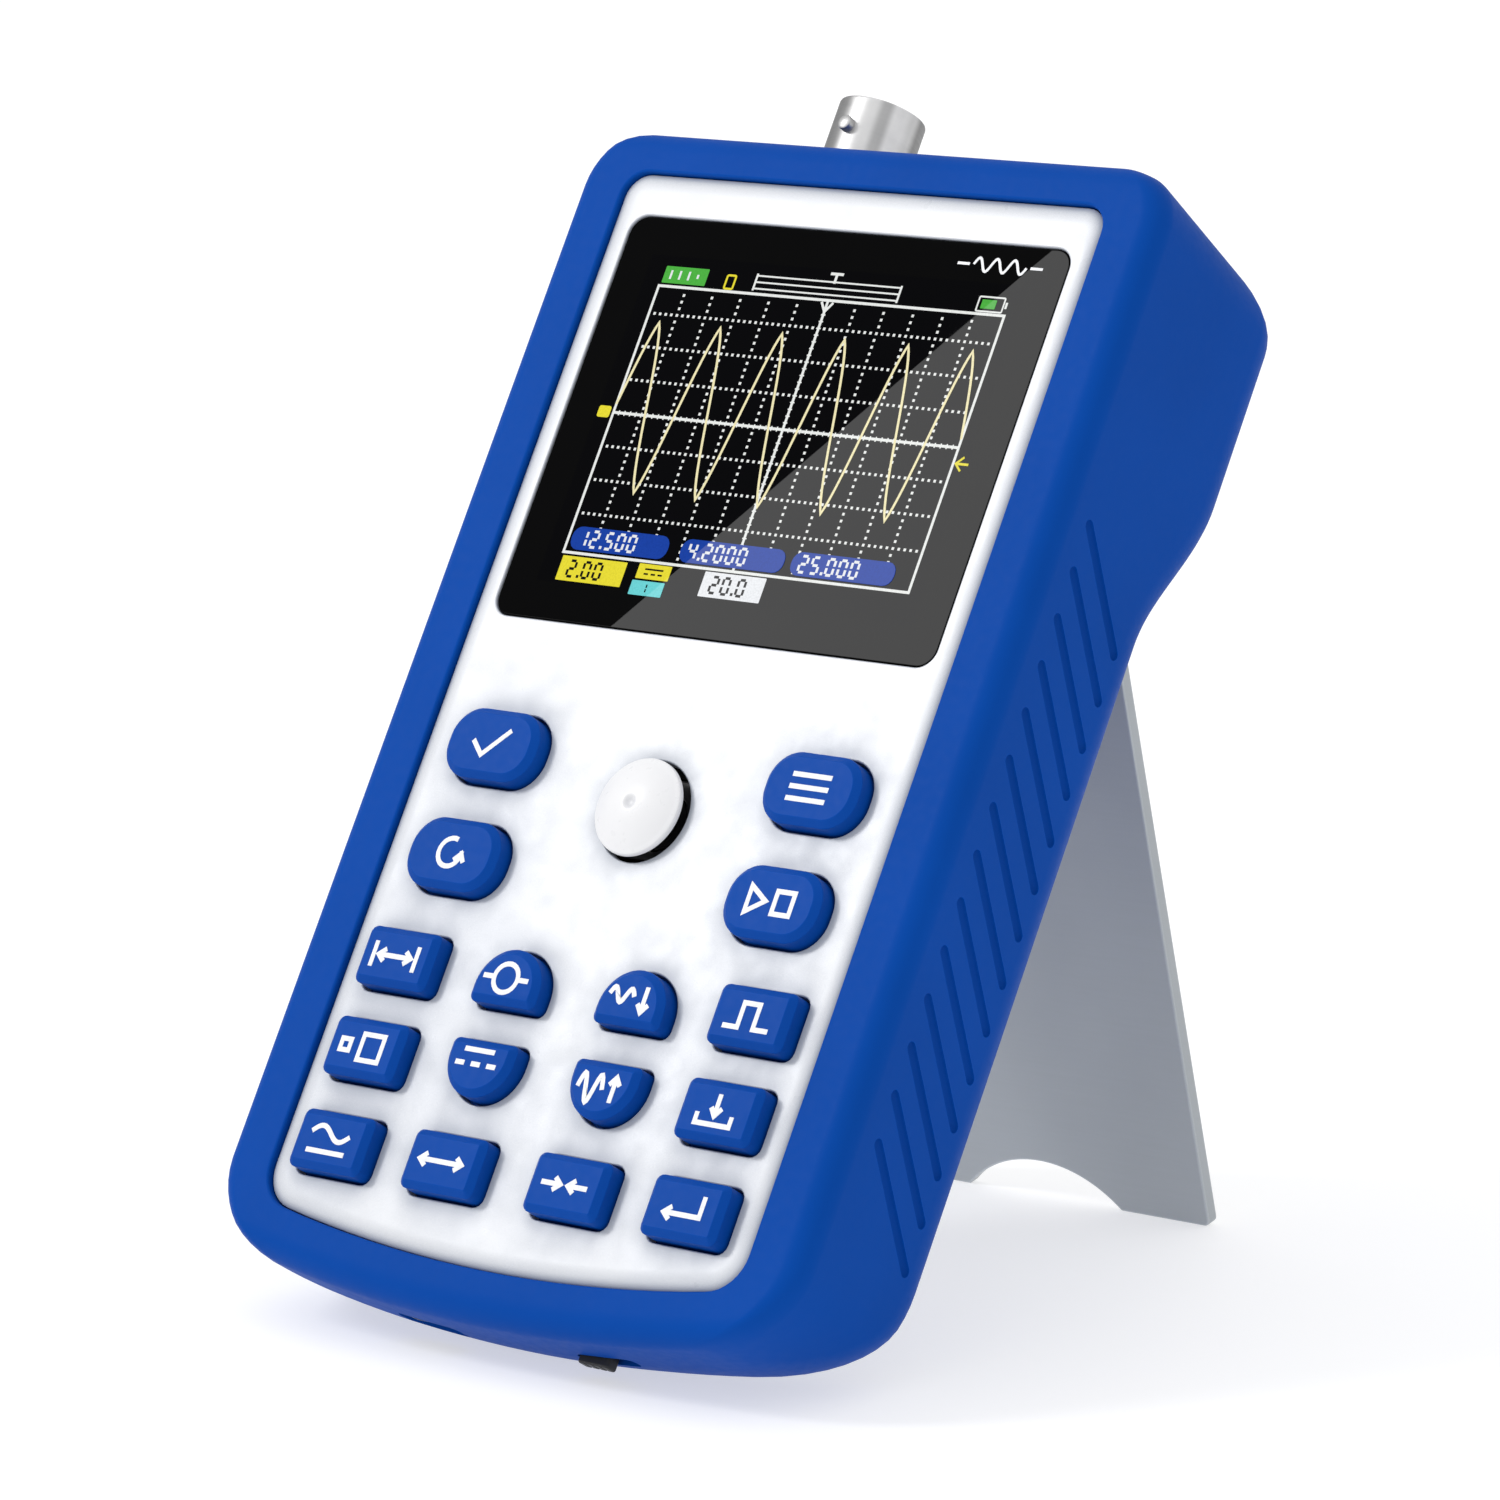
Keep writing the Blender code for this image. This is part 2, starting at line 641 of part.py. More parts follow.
def build_boards(make, materials):
    height = BOARD_TOP - BOARD_BOTTOM
    outline = box_outline(2 * BOARD_HALF_WIDTH, height, 6.0, 3)
    mesh = plate_mesh("main_board", outline, BOARD_FRONT, BOARD_BACK)
    board = make.place("main_board", mesh, materials["board"], (0, 0, (BOARD_TOP + BOARD_BOTTOM) / 2))
    for index, (x, z) in enumerate(screw_spots()):
        hole = rod_mesh(f"board_hole_{index}", POST_RADIUS + GAP, 6, "Y")
        make.combine(board, make.cutter(f"board_hole_{index}", hole, (x, 6, z)), "DIFFERENCE")
    low = KEY_ROWS[-1] - 6.5
    high = OVAL_ROWS[0] + 6.5
    mesh = plate_mesh("contact_sheet", box_outline(67.6, high - low, 1.5, 2), SHEET_FRONT, BOARD_FRONT - GAP)
    sheet = make.place("contact_sheet", mesh, materials["sheet"], (0, 0, (low + high) / 2))
    side = NAV_BASE_SIDE + 4 * GAP
    hole = make.cutter("sheet_hole", box_mesh("sheet_hole", (side, 6, side)), (0, SHEET_FRONT, NAV_HEIGHT))
    make.combine(sheet, hole, "DIFFERENCE")


def build_control(make, materials):
    """Five-way control: base, gimbal ring, stem and cap, all about one pivot."""
    base_back = BOARD_FRONT - GAP
    base = box_mesh("nav_base", (NAV_BASE_SIDE, base_back - NAV_BASE_FRONT, NAV_BASE_SIDE), 0.3)
    centre = (base_back + NAV_BASE_FRONT) / 2
    item = make.place("nav_base", base, materials["black"], (0, centre, NAV_HEIGHT))
    depth = 4.0
    well = rod_mesh("nav_well", NAV_WELL_RADIUS, depth, "Y", 32)
    at = (0, NAV_WELL_FLOOR - depth / 2, NAV_HEIGHT)
    make.combine(item, make.cutter("nav_well", well, at), "DIFFERENCE")
    facing = (math.pi / 2, 0, 0)
    pivot = (0, NAV_PIVOT, NAV_HEIGHT)
    ring = [(3.6, 0.4), (3.6, -0.4), (2.75, -0.4), (2.75, 0.4)]
    make.place("nav_ring", turned_mesh("nav_ring", ring, True, 28), materials["black"], pivot, facing)
    top = NAV_PIVOT - 0.2
    stem = [(0, top), (1.5, top), (1.5, 0.5), (2.4, 0.3), (2.4, -0.3), (1.5, -0.5), (0, -0.5)]
    make.place("nav_stem", turned_mesh("nav_stem", stem, False, 24), materials["black"], pivot, facing)
    make.place("nav_cap", turned_mesh("nav_cap", cap_profile(), False, 40), materials["cap"], pivot, facing)


def cap_profile():
    """The white cap: a low dome with a small dimple on top, on a neck with a socket for the stem."""
    crown = NAV_PIVOT - CAP_TOP
    edge = NAV_PIVOT - CAP_EDGE
    bottom = NAV_PIVOT - CAP_BOTTOM
    rise = crown - edge
    profile = [(0, crown - 0.3), (0.5, crown - 0.2), (0.9, crown - 0.03)]
    for step in range(2, 9):
        angle = math.pi / 2 * step / 8
        profile.append((CAP_RADIUS * math.sin(angle), edge + rise * math.cos(angle)))
    socket = NAV_PIVOT + 0.9
    rim = NAV_PIVOT - CAP_RIM
    profile += [(CAP_RADIUS, rim), (CAP_NECK_RADIUS, rim), (CAP_NECK_RADIUS, bottom)]
    return profile + [(CAP_SOCKET_RADIUS, bottom), (CAP_SOCKET_RADIUS, socket), (0, socket)]


# ----------------------------------------------------- socket, port, switch


def build_socket(make, materials):
    """Coaxial input socket: block on the board, bayonet barrel, insulator and centre contact."""
    _, depth, height = SOCKET_BLOCK
    at = (SOCKET_X, INNER_FRONT + depth / 2, SOCKET_BASE - GAP - height / 2)
    make.place("socket_block", box_mesh("socket_block", SOCKET_BLOCK, 0.6), materials["black"], at)
    floor = SOCKET_TOP - SOCKET_BORE_DEPTH
    profile = [
        (SOCKET_BORE, SOCKET_TOP - 0.3),
        (SOCKET_BORE + 0.3, SOCKET_TOP),
        (SOCKET_RADIUS - 0.3, SOCKET_TOP),
        (SOCKET_RADIUS, SOCKET_TOP - 0.3),
        (SOCKET_RADIUS, SOCKET_BASE + 2.0),
        (SOCKET_RADIUS + SOCKET_FLANGE, SOCKET_BASE + 2.0),
        (SOCKET_RADIUS + SOCKET_FLANGE, SOCKET_BASE),
        (0, SOCKET_BASE),
    ]
    profile = [(0, floor), (SOCKET_BORE, floor)] + profile
    axis = (SOCKET_X, SOCKET_Y, 0)
    mesh = turned_mesh("socket_barrel", profile, False, 36)
    barrel = make.place("socket_barrel", mesh, materials["nickel"], axis)
    for side in (-1, 1):
        lug = rod_mesh(f"lug_{side}", LUG_RADIUS, LUG_LENGTH, "Y", 16)
        reach = SOCKET_RADIUS + 0.05
        at = (SOCKET_X, SOCKET_Y + side * reach, SOCKET_TOP - LUG_DEPTH)
        make.combine(barrel, make.cutter(f"lug_{side}", lug, at), "UNION")
    low = floor + GAP
    tube = [(2.4, low + 4.6), (2.4, low), (1.3, low), (1.3, low + 4.6)]
    mesh = turned_mesh("socket_insulator", tube, True, 24)
    make.place("socket_insulator", mesh, materials["insulator"], axis)
    pin = [(0, low + 1.5), (0.5, low + 1.5), (0.5, low + 4.2), (0.95, low + 4.2), (0.95, low), (0, low)]
    make.place("socket_contact", turned_mesh("socket_contact", pin, False, 20), materials["gold"], axis)


def build_bottom_fittings(make, materials):
    """Power switch and charging port, both on the board's lower end."""
    middle = SWITCH_X + SWITCH_TRAVEL / 2
    _, depth, height = SWITCH_BODY
    at = (middle, INNER_FRONT + depth / 2, SWITCH_BODY_Z + height / 2)
    make.place("switch_body", box_mesh("switch_body", SWITCH_BODY, 0.3), materials["steel"], at)
    height = SWITCH_PROUD + SWITCH_BODY_Z - 0.4
    knob = box_mesh("switch_knob", (SWITCH_KNOB[0], SWITCH_KNOB[1], height), 0.35)
    at = (SWITCH_X, SWITCH_Y, height / 2 - SWITCH_PROUD)
    make.place("switch_knob", knob, materials["black"], at)
    width, depth, height = PORT_SIZE
    shell = box_mesh("charging_port", PORT_SIZE, 0.5)
    at = (PORT_X, PORT_Y, PORT_MOUTH_Z + height / 2)
    port = make.place("charging_port", shell, materials["steel"], at)
    mouth = box_mesh("port_mouth", (width - 2 * PORT_WALL, depth - 2 * PORT_WALL, 12.0))
    make.combine(port, make.cutter("port_mouth", mouth, (PORT_X, PORT_Y, PORT_MOUTH_Z)), "DIFFERENCE")
    tongue = box_mesh("port_tongue", (6.2, 0.7, 4.6))
    make.place("port_tongue", tongue, materials["black"], (PORT_X, PORT_Y, 4.2))


def build_inner_parts(make, materials):
    """Battery, shield over the input stage, processor and converter on the back of the board."""
    blocks = [
        ("battery", (36.0, 9.0, 52.0), 1.2, (0.0, 50.0), "battery"),
        ("input_shield", (30.0, 4.0, 26.0), 0.5, (-13.0, 104.0), "steel"),
        ("processor", (14.0, 1.2, 14.0), 0.2, (18.0, 108.0), "black"),
        ("converter", (8.0, 1.0, 8.0), 0.2, (18.0, 92.0), "black"),
    ]
    for name, size, edge, (x, z), material in blocks:
        at = (x, INNER_FRONT + size[1] / 2, z)
        make.place(name, box_mesh(name, size, edge), materials[material], at)


# ------------------------------------------------------------ back fittings


def build_screws(make, material):
    profile = [
        (0, 0.2),
        (0.5, 0.2),
        (0.9, SCREW_HEAD_HEIGHT),
        (SCREW_HEAD_RADIUS - 0.3, SCREW_HEAD_HEIGHT),
        (SCREW_HEAD_RADIUS, SCREW_HEAD_HEIGHT - 0.3),
        (SCREW_HEAD_RADIUS, 0),
        (SCREW_SHANK_RADIUS, 0),
        (SCREW_SHANK_RADIUS, -SCREW_LENGTH + 0.5),
        (SCREW_SHANK_RADIUS - 0.4, -SCREW_LENGTH),
        (0, -SCREW_LENGTH),
    ]
    mesh = turned_mesh("cover_screw", profile, False, 20)
    for index, (x, z) in enumerate(screw_spots(), 1):
        at = (x, seat_depth(z), z)
        make.place(f"cover_screw_{index}", mesh, material, at, (-math.pi / 2, 0, 0))


def build_stand(make, materials):
    """Plate with a rolled barrel on a steel pin; it swings about X and is drawn open."""
    top = -BARREL_RADIUS * 0.5
    foot = -STAND_LENGTH
    radius = (STAND_NOTCH_HALF**2 + STAND_NOTCH_DEPTH**2) / (2 * STAND_NOTCH_DEPTH)
    span = math.degrees(math.asin(STAND_NOTCH_HALF / radius))
    centre = (0.0, foot - radius + STAND_NOTCH_DEPTH)
    notch = arc_points(centre, radius, 90 + span, 90 - span, 10)
    half = STAND_HALF_WIDTH
    right = [(half, foot), (half, top), (-half, top), (-half, foot)]
    thick = STAND_THICKNESS / 2
    turn = (math.radians(STAND_OPEN_DEG), 0, 0)
    at = (0, HINGE_Y, HINGE_Z)
    mesh = plate_mesh("stand_plate", notch + right, -thick, thick)
    plate = make.place("stand_plate", mesh, materials["stand"], at, turn)
    barrel = make.cutter("barrel", rod_mesh("barrel", BARREL_RADIUS, 2 * half, "X", 24), at)
    make.combine(plate, barrel, "UNION")
    bore = make.cutter("barrel_bore", rod_mesh("barrel_bore", PIN_RADIUS + PIN_CLEARANCE, 80, "X", 16), at)
    make.combine(plate, bore, "DIFFERENCE")
    pin = rod_mesh("stand_pin", PIN_RADIUS, 2 * (POCKET_HALF_WIDTH + WALL - 0.4), "X", 16)
    make.place("stand_pin", pin, materials["steel"], at)


def build_bumpers(make, material):
    front = THIN_DEPTH - 0.4 + GAP
    height = BUMPER_TOP - front
    radius = BUMPER_RADIUS
    profile = [(0, height), (radius - 0.5, height), (radius, height - 0.5), (radius, 0), (0, 0)]
    mesh = turned_mesh("bumper", profile, False, 24)
    for side, name in ((-1, "stand_bumper_left"), (1, "stand_bumper_right")):
        make.place(name, mesh, material, (side * BUMPER_X, front, BUMPER_Z), (-math.pi / 2, 0, 0))


def make_materials():
    return {
        "blue": make_material("blue_plastic", (0.015, 0.083, 0.40), 0.42),
        "key": make_material("blue_keys", (0.017, 0.09, 0.42), 0.45),
        "panel": make_material("white_panel", (0.86, 0.88, 0.92), 0.35),
        "cap": make_material("white_cap", (0.90, 0.91, 0.93), 0.30),
        "glass": make_material("black_glass", (0.004, 0.004, 0.005), 0.05),
        "display": make_material("display_frame", (0.03, 0.03, 0.035), 0.40),
        "board": make_material("circuit_board", (0.01, 0.10, 0.04), 0.50),
        "sheet": make_material("contact_sheet", (0.02, 0.02, 0.02), 0.70),
        "black": make_material("black_plastic", (0.012, 0.012, 0.014), 0.45),
        "nickel": make_material("nickel", (0.62, 0.61, 0.60), 0.25, 1.0),
        "insulator": make_material("white_insulator", (0.85, 0.85, 0.82), 0.45),
        "gold": make_material("gold_contact", (0.83, 0.60, 0.25), 0.30, 1.0),
        "steel": make_material("steel", (0.55, 0.56, 0.58), 0.35, 1.0),
        "battery": make_material("battery_wrap", (0.05, 0.13, 0.30), 0.40),
        "stand": make_material("grey_metal", (0.30, 0.33, 0.38), 0.45, 0.6),
        "rubber": make_material("black_rubber", (0.015, 0.015, 0.015), 0.80),
    }


def stand_on_floor(make):
    """Leans the body back and brings the middle of its lowest face to the origin."""
    make.root.rotation_euler = (-math.radians(LEAN_DEG), 0, 0)
    bpy.context.view_layer.update()
    points = []
    for item in make.parts.objects:
        if item.type == "MESH":
            points += [item.matrix_world @ vertex.co for vertex in item.data.vertices]
    low = Vector([min(point[axis] for point in points) for axis in range(3)])
    high = Vector([max(point[axis] for point in points) for axis in range(3)])
    make.root.location = (-(low.x + high.x) / 2, -(low.y + high.y) / 2, -low.z)


def main():
    clear_scene()
    materials = make_materials()
    make = Builder()
    shell = build_shell(make)
    build_housing(make, shell, materials["blue"])
    build_cover(make, shell, materials["blue"])
    build_panel(make, materials["panel"])
    build_display(make, materials)
    build_keys(make, materials)
    build_boards(make, materials)
    build_control(make, materials)
    build_socket(make, materials)
    build_bottom_fittings(make, materials)
    build_inner_parts(make, materials)
    build_screws(make, materials["steel"])
    build_stand(make, materials)
    build_bumpers(make, materials["rubber"])
    stand_on_floor(make)
    bpy.context.view_layer.update()


main()
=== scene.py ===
"""Handheld oscilloscope on its fold-out stand: the visible pieces and their finishes.

Lengths are in millimetres until they reach a mesh, where MM turns them into metres. The instrument has its
own frame, leaned back on the stand: X to the right, Y from the front face into the body, Z up the face.
"""

import json
import math

import bmesh
import bpy
from mathutils import Matrix, Quaternion, Vector


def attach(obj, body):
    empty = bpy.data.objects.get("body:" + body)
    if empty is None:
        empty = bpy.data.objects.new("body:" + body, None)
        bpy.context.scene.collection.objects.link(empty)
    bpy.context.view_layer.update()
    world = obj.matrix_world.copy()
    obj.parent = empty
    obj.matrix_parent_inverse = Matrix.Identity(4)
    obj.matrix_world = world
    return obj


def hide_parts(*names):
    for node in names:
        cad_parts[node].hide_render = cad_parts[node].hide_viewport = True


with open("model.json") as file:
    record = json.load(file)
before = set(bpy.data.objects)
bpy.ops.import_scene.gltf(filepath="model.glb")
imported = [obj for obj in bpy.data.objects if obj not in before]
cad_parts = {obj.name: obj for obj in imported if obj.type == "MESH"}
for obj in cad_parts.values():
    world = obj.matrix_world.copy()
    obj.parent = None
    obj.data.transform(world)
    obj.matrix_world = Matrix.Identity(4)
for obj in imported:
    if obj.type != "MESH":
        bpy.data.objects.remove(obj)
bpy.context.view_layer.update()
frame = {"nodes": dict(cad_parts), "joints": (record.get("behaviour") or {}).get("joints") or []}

bl_info = {
    "name": "Handheld Oscilloscope",
    "version": (1, 0, 0),
    "blender": (4, 5, 0),
    "location": "3D View > Sidebar > Oscilloscope",
    "description": "Builds the visible pieces of a handheld oscilloscope around its packed solids",
    "category": "Object",
}

MM = 0.001
GAP = 0.3
FILM_FOOT = 0.02
SHARP = math.radians(34.0)

# Blue body and its openings
BODY_LENGTH = 149.9
STEP_TOP = 118.9
STEP_BOTTOM = 98.5
THIN_DEPTH = 25.0
WALL = 2.2
FRONT_WALL = 3.4
FRONT_EDGE_RADIUS = 3.0
REAR_EDGE_RADIUS = 6.0
TOP_CORNER_RADIUS = 8.0
TOP_REAR_RADIUS = 6.0
BOTTOM_CORNER_RADIUS = 11.0
BOTTOM_REAR_RADIUS = 16.0
TOP_DROP = 5.5
TOP_BLEND = 30.0
BOTTOM_ARC = 210.0
BOTTOM_BLEND = 30.0
LEDGE_WIDTH = 2.2
PANEL_ARC = 196.0
COVER_CORNER = 6.0
COVER_FRONT = 16.0
POCKET = (26.6, 24.8, 99.0, 123.6)
SOCKET_HOLE = 5.9
SWITCH_SLOT = (4.2, 1.4)
PORT_HOLE = (4.9, 2.0)
GROOVE_FRONT = (6.0, 106.7)
GROOVE_BACK = (18.0, 95.7)

# White panel, glass and keys
PANEL_CORNERS = (5.0, 3.2)
GLASS_RADIUS = 2.4
WINDOW = (30.5, 23.25)
SCREEN = (28.8, 21.6)
BAR_KEY = (5.6, 3.65, 1.0)
OVAL_KEY = (6.9, 4.45, 4.0)
KEY_FLANGE = 0.8
KEY_CLEARANCE = 0.35
BUTTON_HOLE = 6.4

# Input socket
BARREL_RADIUS = 5.5
BARREL_BORE = 4.15
BARREL_BORE_DEPTH = 9.0
LUG_DROP = 4.1
LUG_RADIUS = 0.95

# Screws, stand and rubber pads
HEAD_HEIGHT = 1.0
HEAD_SEAT = 2.5
SHANK_HOLE = 1.3
THREAD_PITCH = 0.8
HINGE = (0.0, 27.6, 120.7)
STAND_OPEN = math.radians(45.0)
STAND_LENGTH = 98.82
STAND_HALF = 25.6
STAND_HALF_THICK = 0.9
STAND_CORNERS = (0.8, 0.5)
STAND_NOTCH = (12.0, 5.0)
HINGE_RADIUS = 1.9
PIN_HOLE = 1.15
PAD_RADIUS = 3.0

# Camera and key light, the light by three places on the glass that its edge passes
CAMERA_AIM = (-0.00134, -0.00218, 0.06507)
GLINT_TOP = (33.5, 138.0)
GLINT_FOOT = (-11.0, 85.3)
GLINT_INSIDE = (33.0, 85.5)
SOFTBOX_REACH = 1.5
SOFTBOX_SIZE = (0.5, 0.24)
SOFTBOX_RADIANCE = 20.0


def lean_frame():
    """The instrument's own frame, from the hinge of the stand and the way the round button presses."""
    joints = {joint["name"]: joint for joint in frame["joints"]}
    across = Vector((1.0, 0.0, 0.0))
    inward = Vector(joints["nav_press"]["axis"]).normalized()
    upward = across.cross(inward)
    turned = Matrix((across, inward, upward)).transposed()
    hinge = Vector(joints["stand_swing"]["pos_m"])
    return Matrix.Translation(hinge - turned @ Vector(HINGE) * MM) @ turned.to_4x4()


LEANED = lean_frame()


def span(node):
    """Lowest and highest corner of a CAD node in the instrument's own frame, in millimetres."""
    upright = LEANED.inverted()
    spots = [upright @ vertex.co / MM for vertex in frame["nodes"][node].data.vertices]
    low = Vector([min(spot[axis] for spot in spots) for axis in range(3)])
    high = Vector([max(spot[axis] for spot in spots) for axis in range(3)])
    return low, high


def middle(node):
    low, high = span(node)
    return (low + high) / 2


HALF_WIDTH = span("housing")[1].x
PANEL_LOW, PANEL_HIGH = span("front_panel")
GLASS_LOW, GLASS_HIGH = span("display_glass")
COVER_LOW, COVER_HIGH = span("rear_cover")
THICK_DEPTH = COVER_HIGH.y


# ------------------------------------------------------------------ settings


def length_setting(name, about, default):
    return bpy.props.FloatProperty(
        name=name, description=about, default=default, min=0.0, unit="LENGTH", precision=5
    )


def angle_setting(name, about, degrees):
    return bpy.props.FloatProperty(
        name=name, description=about, default=math.radians(degrees), unit="ROTATION"
    )


def colour_setting(name, about, default):
    return bpy.props.FloatVectorProperty(
        name=name, description=about, default=default, min=0.0, max=1.0, size=3, subtype="COLOR"
    )


class OscilloscopeSizes(bpy.types.PropertyGroup):
    """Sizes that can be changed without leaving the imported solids."""

    rim_radius: length_setting("Opening rim", "Radius of the rounded rims of the openings", 0.00035)
    panel_rim: length_setting("Panel rim", "Width over which the white panel falls away at its rim", 0.0024)
    key_rise: length_setting("Key chamfer", "Width of the chamfer around each key", 0.0009)
    key_rim: length_setting("Key hole rim", "Radius of the rim around each key hole", 0.0002)
    groove_radius: length_setting("Groove radius", "Radius of the grip grooves", 0.00075)
    groove_depth: length_setting("Groove depth", "Depth of the grip grooves", 0.00075)
    groove_pitch: length_setting("Groove pitch", "Step from one grip groove to the next", 0.00587)
    groove_count: bpy.props.IntProperty(
        name="Grooves", description="Grip grooves on each side", default=14, min=0
    )
    mark_stroke: length_setting("Mark stroke", "Stroke width of the marks on the keys", 0.00062)
    trace_width: length_setting("Trace width", "Width of the trace on the display", 0.0003)
    dot_size: length_setting("Dot size", "Size of the dots of the grid", 0.00034)
    film: length_setting("Print height", "How far printed marks stand above their surface", 0.00004)
    stand_rim: length_setting("Stand rim", "Radius of the stand's edges", 0.0002)
    camera_distance: length_setting("Camera distance", "Distance from the camera to its aim point", 0.88289)
    camera_azimuth: angle_setting("Camera azimuth", "Turn of the camera to the right", 40.02)
    camera_elevation: angle_setting("Camera elevation", "Rise of the camera", 10.32)
    camera_roll: angle_setting("Camera roll", "Roll of the camera", -0.64)
    camera_lens: bpy.props.FloatProperty(
        name="Lens", description="Focal length", default=178.6, unit="CAMERA"
    )


class OscilloscopeColours(bpy.types.PropertyGroup):
    """Colours of the plastics, the metals and the picture on the display."""

    body: colour_setting("Body", "Soft blue plastic of the body", (0.0008, 0.0585, 0.338))
    keys: colour_setting("Keys", "Blue plastic of the keys", (0.0010, 0.0590, 0.338))
    panel: colour_setting("Panel", "White front panel", (0.70, 0.71, 0.73))
    cap: colour_setting("Round button", "White plastic of the five-way button", (0.79, 0.79, 0.80))
    glass: colour_setting("Glass", "Black around the display", (0.0006, 0.0006, 0.0007))
    screen: colour_setting("Screen", "Dark display behind the glass", (0.0002, 0.0002, 0.0007))
    grid: colour_setting("Grid", "Grid of the display", (0.86, 0.88, 0.86))
    trace: colour_setting("Trace", "Signal on the display", (0.92, 0.84, 0.50))
    pill: colour_setting("Reading field", "Blue fields of the display", (0.010, 0.055, 0.38))
    yellow: colour_setting("Yellow field", "Yellow fields of the display", (0.84, 0.74, 0.04))
    cyan: colour_setting("Cyan field", "Cyan field of the display", (0.16, 0.68, 0.70))
    green: colour_setting("Green field", "Green fields of the display", (0.08, 0.46, 0.06))
    legend: colour_setting("Key marks", "White marks printed on the keys", (0.82, 0.83, 0.85))
    nickel: colour_setting("Nickel", "Plated barrel of the input socket", (0.86, 0.855, 0.85))
    stand: colour_setting("Stand", "Painted metal of the stand", (0.385, 0.41, 0.43))
    floor: colour_setting("Floor", "Pale floor", (0.52, 0.52, 0.52))


# --------------------------------------------------------------------- meshes


def quarter(steps):
    return [math.pi / 2 * step / steps for step in range(steps + 1)]


def arc(centre, radius, start, end, steps):
    """Points along an arc, its angles in degrees."""
    points = []
    for step in range(steps + 1):
        angle = math.radians(start + (end - start) * step / steps)
        points.append((centre[0] + radius * math.cos(angle), centre[1] + radius * math.sin(angle)))
    return points


def rounded(corners, steps=8):
    """A closed outline through corners given as (x, z, radius), each rounded by its own radius."""
    points = []
    for index, (x, z, radius) in enumerate(corners):
        corner = Vector((x, z))
        if radius <= 0:
            points.append((x, z))
            continue
        before = (Vector(corners[index - 1][:2]) - corner).normalized()
        after = (Vector(corners[(index + 1) % len(corners)][:2]) - corner).normalized()
        half = before.angle(after) / 2
        centre = corner + (before + after).normalized() * (radius / math.sin(half))
        first = corner + before * (radius / math.tan(half)) - centre
        turn = math.pi - 2 * half
        turn = -turn if before.cross(after) > 0 else turn
        for step in range(steps + 1):
            spot = centre + Matrix.Rotation(turn * step / steps, 2) @ first
            points.append((spot.x, spot.y))
    return points


def box_outline(half_width, half_height, radius, steps=8, centre=(0.0, 0.0)):
    x, z = centre
    low, high = z - half_height, z + half_height
    left, right = x - half_width, x + half_width
    corners = [(left, low), (right, low), (right, high), (left, high)]
    return rounded([(*corner, radius) for corner in corners], steps)


def panel_outline(grow):
    """The white panel's outline: straight sides and top, and a bottom that bows downwards."""
    half = PANEL_HIGH.x + grow
    low = PANEL_LOW.z - grow
    corners = []
    for step in range(-8, 9):
        x = step * PANEL_HIGH.x * 0.1
        corners.append((x, low + x * x / (2 * PANEL_ARC), 0))
    edge = low + half * half / (2 * PANEL_ARC)
    top = PANEL_HIGH.z + grow
    low_radius, top_radius = [radius + grow for radius in PANEL_CORNERS]
    corners += [(half, edge, low_radius), (half, top, top_radius)]
    corners += [(-half, top, top_radius), (-half, edge, low_radius)]
    return rounded(corners)


def add_stack(work, layers):
    """A solid through closed outlines of equal length, each with its depth Y, capped at both ends."""
    rings = [[work.verts.new(Vector((x, y, z)) * MM) for x, z in outline] for y, outline in layers]
    for near, far in zip(rings, rings[1:]):
        for index in range(len(near)):
            after = (index + 1) % len(near)
            work.faces.new((near[index], near[after], far[after], far[index]))
    work.faces.new(rings[0])
    work.faces.new(rings[-1])


def add_turned(work, profile, steps, closed=False):
    """A profile of (radius, height) points turned about Z."""
    rings = []
    for radius, height in profile:
        if radius == 0:
            rings.append([work.verts.new((0, 0, height * MM))])
            continue
        spots = [(radius * math.cos(a), radius * math.sin(a), height) for a in turns(steps)]
        rings.append([work.verts.new(Vector(spot) * MM) for spot in spots])
    pairs = list(zip(rings, rings[1:]))
    if closed:
        pairs.append((rings[-1], rings[0]))
    for near, far in pairs:
        for index in range(steps):
            after = (index + 1) % steps
            face = [near[index % len(near)], near[after % len(near)]]
            face += [far[after % len(far)], far[index % len(far)]]
            work.faces.new(list(dict.fromkeys(face)))


def turns(steps):
    return [2 * math.pi * step / steps for step in range(steps)]


def add_capsule(work, start, end, radius, segments=12, rings=4):
    """A rod with round ends between two points, for cutting a groove."""
    start, end = Vector(start), Vector(end)
    along = (end - start).normalized()
    side = along.orthogonal().normalized()
    other = along.cross(side)
    first = [(start - along * radius * math.cos(a), radius * math.sin(a)) for a in quarter(rings)[1:]]
    last = [(end + along * radius * math.cos(a), radius * math.sin(a)) for a in reversed(quarter(rings)[1:])]
    loops = []
    for centre, size in first + last:
        spots = [centre + (side * math.cos(a) + other * math.sin(a)) * size for a in turns(segments)]
        loops.append([work.verts.new(spot * MM) for spot in spots])
    tips = (work.verts.new((start - along * radius) * MM), work.verts.new((end + along * radius) * MM))
    for near, far in zip(loops, loops[1:]):
        for index in range(segments):
            after = (index + 1) % segments
            work.faces.new((near[index], near[after], far[after], far[index]))
    for tip, loop in zip(tips, (loops[0], loops[-1])):
        for index in range(segments):
            work.faces.new((tip, loop[index], loop[(index + 1) % segments]))


